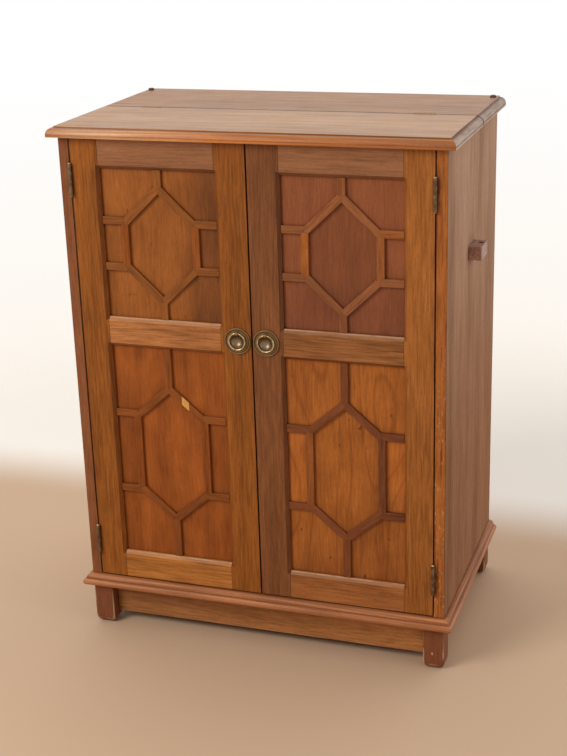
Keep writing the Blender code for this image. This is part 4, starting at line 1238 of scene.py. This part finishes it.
class CABINET_OT_hinges(bpy.types.Operator):
    """Dress the butt hinges of the doors and the lid, and screw them on"""

    bl_idname = "cabinet.hinges"
    bl_label = "Hinges"

    def execute(self, context):
        metals = context.scene.cabinet_metal
        sizes = context.scene.cabinet_sizes
        bronze = metal(
            "door_hinge_brass", metals.bright_brass, metals.bronze, roughness=0.5, rubbed=0.22, dull_metal=0.7
        )
        pale = metal(
            "lid_hinge_brass", metals.lid_bronze, metals.lid_bronze, roughness=0.6, dull_metal=0.0, grime_and_shade=0.3
        )
        play = sizes.hinge_play / 2
        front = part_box("left_side")[0].y
        for hand, way in HANDS.items():
            for side, facing in (("side", -way), ("door", way)):
                for tier in LEVELS:
                    node = f"{hand}_{tier}_hinge_{side}_leaf"
                    low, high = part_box(node)
                    middle = (low + high) / 2
                    face = Vector((middle.x - facing * play, (front + high.y) / 2, middle.z))
                    leaf = screwed_leaf(node, face, (facing, 0, 0), sizes.screw_radius, sizes)
                    add_piece(f"{node}_brass", leaf, [bronze], node)
            for side, facing in (("rear", -1), ("front", 1)):
                node = f"{hand}_lid_hinge_{side}_leaf"
                low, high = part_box(node)
                middle = (low + high) / 2
                plate_top = high.z - (high.y - low.y)
                face = Vector((middle.x, middle.y - facing * play, (low.z + plate_top) / 2))
                leaf = screwed_leaf(node, face, (0, facing, 0), sizes.lid_screw_radius, sizes)
                add_piece(f"{node}_brass", leaf, [pale], node)
        return {"FINISHED"}


def arc(centre, radius, start, end, steps):
    """Points of (radius, height) along an arc, from one angle to another in degrees."""
    turns = [math.radians(start + (end - start) * step / steps) for step in range(steps + 1)]
    return [(centre[0] + radius * math.cos(turn), centre[1] + radius * math.sin(turn)) for turn in turns]


def pull_plate(node, ring_node, sizes):
    """A turned plate with a beaded rim, a sunk field and a finger dish, and the eye that the ring hangs in.

    The dish takes the second material.
    """
    low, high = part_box(node)
    centre = (low + high) / 2
    radius = (high.x - low.x) / 2
    bead = sizes.rim_width / 2
    field = sizes.field_rise
    dish = sizes.dish_radius
    lip = sizes.dish_wall / 2
    depth = sizes.dish_lip + sizes.dish_sink
    curve = (dish * dish + depth * depth) / (2 * depth)
    middle = curve - sizes.dish_sink
    back = curve + sizes.dish_wall
    profile = arc((0, middle), back, -90, math.degrees(math.acos(middle / back)) - 90, 8)
    profile += [(radius, 0)]
    profile += arc((radius - bead, sizes.rim_rise - bead), bead, 0, 180, 10)
    profile += arc((radius - 3 * bead, field + bead / 2), bead / 2, 0, -90, 4)
    profile += [(dish + 5 * lip, field), (dish + 3 * lip, field + lip / 2)]
    profile += arc((dish + lip, sizes.dish_lip - lip), lip, 0, 150, 6)
    profile += arc((0, middle), curve, math.degrees(math.asin(dish / curve)) - 90, -90, 16)
    face_plane = high.y - sizes.dish_sink - sizes.dish_wall
    plate = spun(profile, PULL_STEPS, (centre.x, face_plane, centre.z), (0, -1, 0))
    arrises = face_layer(plate, "arris")
    for face in plate.faces:
        reach = ((face.calc_center_median() - centre) * Vector((1, 0, 1))).length
        face.material_index = int(reach < dish + lip and face.normal.y < 0)
        if reach > radius - 2 * bead or dish < reach < dish + 3 * lip:
            face[arrises] = RUBBED_RIM
    ring_low, ring_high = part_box(ring_node)
    half = sizes.eye_width / 2
    soft = sizes.eye_wall / 3
    inner, outer = sizes.eye_bore, sizes.eye_bore + sizes.eye_wall
    band = [(inner, -half), (outer - soft, -half), (outer, -half + soft), (outer, half - soft)]
    band += [(outer - soft, half), (inner, half), (inner, -half)]
    place = (centre.x, (ring_low.y + ring_high.y) / 2, ring_high.z - sizes.wire_radius)
    return joined([plate, spun(band, EYE_STEPS, place, (1, 0, 0))])


def pull_ring(node, sizes):
    """A round ring of round wire, hanging flat against its plate."""
    low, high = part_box(node)
    radius = (high.x - low.x) / 2 - sizes.wire_radius
    wire = arc((radius, 0), sizes.wire_radius, 0, 360, WIRE_STEPS)
    return spun(wire, PULL_STEPS, (low + high) / 2, (0, -1, 0))


class CABINET_OT_pulls(bpy.types.Operator):
    """Turn the ring pulls' plates and bend their rings"""

    bl_idname = "cabinet.pulls"
    bl_label = "Ring pulls"

    def execute(self, context):
        metals = context.scene.cabinet_metal
        sizes = context.scene.cabinet_sizes
        plate_brass = metal(
            "pull_plate_brass", metals.brass, metals.patina, roughness=0.48, rubbed=0.15, dull_metal=0.2
        )
        clean = {"dull_metal": 0.9, "grime_and_shade": 0.0}
        dish_brass = metal(
            "pull_dish_brass", metals.dish_brass, metals.dish_brass, roughness=0.36, pitted=0.02, **clean
        )
        ring_brass = metal(
            "pull_ring_brass", metals.bright_brass, metals.brass, roughness=0.22, rubbed=0.9, **clean
        )
        for hand in HANDS:
            plate, ring = f"{hand}_pull_plate", f"{hand}_pull_ring"
            add_piece(f"{plate}_brass", pull_plate(plate, ring, sizes), [plate_brass, dish_brass], plate)
            add_piece(f"{ring}_brass", pull_ring(ring, sizes), [ring_brass], ring)
        return {"FINISHED"}


class CABINET_OT_inside(bpy.types.Operator):
    """Dress the boards inside, the back, the catch and the rest studs"""

    bl_idname = "cabinet.inside"
    bl_label = "Inside and small fittings"

    def execute(self, context):
        woods = context.scene.cabinet_timber
        metals = context.scene.cabinet_metal
        arris = context.scene.cabinet_sizes.frame_arris
        figure = {"mottle": 0.3, "streaks": 1.1, "reach": 3.0, "roughness": 0.55}
        axes = {"back_panel": "Z", "well_floor": "X", "well_front": "X", "seam_rail": "X", "shelf": "X"}
        for node, axis in axes.items():
            dress_board(node, arris, timber(f"{node}_wood", woods.inside, axis, **figure))
        steel = metal("catch_steel", metals.steel, tinted(metals.steel, (0.5, 0.48, 0.45)), roughness=0.42)
        for node in ("magnetic_catch", "left_strike_plate", "right_strike_plate"):
            add_piece(f"{node}_steel", soften(node_shape(node), arris / 2), [steel], node)
        black = rubber("stud_rubber", metals.rubber)
        for hand in HANDS:
            node = f"{hand}_lid_stud"
            add_piece(f"{node}_rubber", node_shape(node), [black], node)
        return {"FINISHED"}


def floor_material(stage):
    """A plain floor that keeps shadows near the cabinet and fades into the background further off."""
    recipe = Recipe("floor_finish")
    place = recipe.object_place()
    behind = recipe.between(recipe.along(place, "Y"), stage.floor_end, stage.floor_pale)
    tone = recipe.mix(behind, stage.floor, stage.pale_floor)
    recipe.finish(Base_Color=tone, Roughness=0.75, Specular_IOR_Level=0.2)
    away = recipe.between(recipe.vector("LENGTH", place), stage.floor_clear, stage.floor_fade)
    clear = recipe.node("BsdfTransparent").outputs[0]
    shares = {0: recipe.product(away, recipe.looking()), 1: recipe.shader.outputs[0], 2: clear}
    mixed = recipe.node("MixShader", shares)
    recipe.feed(recipe.tree.nodes["Material Output"].inputs["Surface"], mixed.outputs[0])
    return recipe.material


def studio_world(stage):
    """A pale background, with soft light that is stronger from behind the cabinet than from its front."""
    world = bpy.data.worlds.new("studio")
    world.use_nodes = True
    kit = NodeKit(world.node_tree)
    direction = kit.node("TexCoord").outputs["Generated"]
    backward = kit.between(kit.along(direction, "Y"), *LIGHT_TURN)
    strength = kit.math("MULTIPLY_ADD", backward, stage.back_light - stage.front_light, stage.front_light)
    light = kit.tree.nodes["Background"]
    kit.feed(light.inputs["Color"], WORLD_TINT)
    kit.feed(light.inputs["Strength"], strength)
    low, high = BACKGROUND_TURN
    height = kit.node("MapRange", {0: kit.along(direction, "Z"), 1: low, 2: high}).outputs[0]
    seen = kit.node("Background", {"Color": kit.mix(height, stage.low_background, stage.background)})
    mixed = kit.node("MixShader", {0: kit.looking(), 1: light.outputs[0], 2: seen.outputs[0]})
    kit.feed(kit.tree.nodes["World Output"].inputs["Surface"], mixed.outputs[0])
    return world


def area_lamp(name, place, target, size, power, tint):
    lamp = bpy.data.lights.new(name, "AREA")
    lamp.shape = "SQUARE"
    lamp.size = size
    lamp.energy = power
    lamp.color = tint
    holder = bpy.data.objects.new(name, lamp)
    holder.location = place
    holder.rotation_euler = (Vector(target) - Vector(place)).to_track_quat("-Z", "Y").to_euler()
    bpy.context.scene.collection.objects.link(holder)


def studio_floor(stage):
    shape = bmesh.new()
    bmesh.ops.create_circle(shape, cap_ends=True, segments=96, radius=stage.floor_radius)
    mesh = bpy.data.meshes.new("studio_floor")
    shape.to_mesh(mesh)
    shape.free()
    mesh.materials.append(floor_material(stage))
    floor = bpy.data.objects.new("studio_floor", mesh)
    bpy.context.scene.collection.objects.link(floor)


class CABINET_OT_stage(bpy.types.Operator):
    """Set up the floor, the light and the camera"""

    bl_idname = "cabinet.stage"
    bl_label = "Stage"

    def execute(self, context):
        scene = context.scene
        stage = scene.cabinet_stage
        scene.view_settings.view_transform = "Standard"
        scene.world = studio_world(stage)
        studio_floor(stage)
        middle = (CAD_BOX[0] + CAD_BOX[1]) / 2
        area_lamp("window", WINDOW_PLACE, middle, WINDOW_SIZE, stage.window_power, WINDOW_TINT)
        area_lamp("fill", FILL_PLACE, middle, FILL_SIZE, stage.fill_power, FILL_TINT)
        camera = bpy.data.objects.new("camera", bpy.data.cameras.new("camera"))
        camera.data.lens = stage.camera_lens
        camera.data.sensor_width = SENSOR_WIDTH
        camera.location = stage.camera_place
        flat = math.cos(stage.camera_elevation)
        back = Vector((
            math.sin(stage.camera_azimuth) * flat,
            -math.cos(stage.camera_azimuth) * flat,
            math.sin(stage.camera_elevation),
        ))
        turn = (-back).to_track_quat("-Z", "Y") @ Quaternion((0, 0, 1), stage.camera_roll)
        camera.rotation_euler = turn.to_euler()
        scene.collection.objects.link(camera)
        scene.camera = camera
        return {"FINISHED"}


STEPS = (
    CABINET_OT_stage,
    CABINET_OT_top,
    CABINET_OT_sides,
    CABINET_OT_base,
    CABINET_OT_door_frames,
    CABINET_OT_panels,
    CABINET_OT_lattices,
    CABINET_OT_hinges,
    CABINET_OT_pulls,
    CABINET_OT_inside,
)


class CABINET_PT_looks(bpy.types.Panel):
    """The steps that dress the cabinet"""

    bl_idname = "CABINET_PT_looks"
    bl_label = "Bar cabinet"
    bl_space_type = "VIEW_3D"
    bl_region_type = "UI"
    bl_category = "Cabinet"

    def draw(self, context):
        for step in STEPS:
            self.layout.operator(step.bl_idname)


GROUPS = {
    "cabinet_timber": CabinetTimber,
    "cabinet_metal": CabinetMetal,
    "cabinet_sizes": CabinetSizes,
    "cabinet_stage": CabinetStage,
}


def register():
    for kind in (*GROUPS.values(), *STEPS, CABINET_PT_looks):
        bpy.utils.register_class(kind)
    for name, kind in GROUPS.items():
        setattr(bpy.types.Scene, name, bpy.props.PointerProperty(type=kind))


def unregister():
    for name in GROUPS:
        delattr(bpy.types.Scene, name)
    for kind in (CABINET_PT_looks, *STEPS, *GROUPS.values()):
        bpy.utils.unregister_class(kind)


def main():
    register()
    bpy.ops.cabinet.stage()
    bpy.ops.cabinet.top()
    bpy.ops.cabinet.sides()
    bpy.ops.cabinet.base()
    bpy.ops.cabinet.door_frames()
    bpy.ops.cabinet.panels()
    bpy.ops.cabinet.lattices()
    bpy.ops.cabinet.hinges()
    bpy.ops.cabinet.pulls()
    bpy.ops.cabinet.inside()


if __name__ == "__main__":
    main()
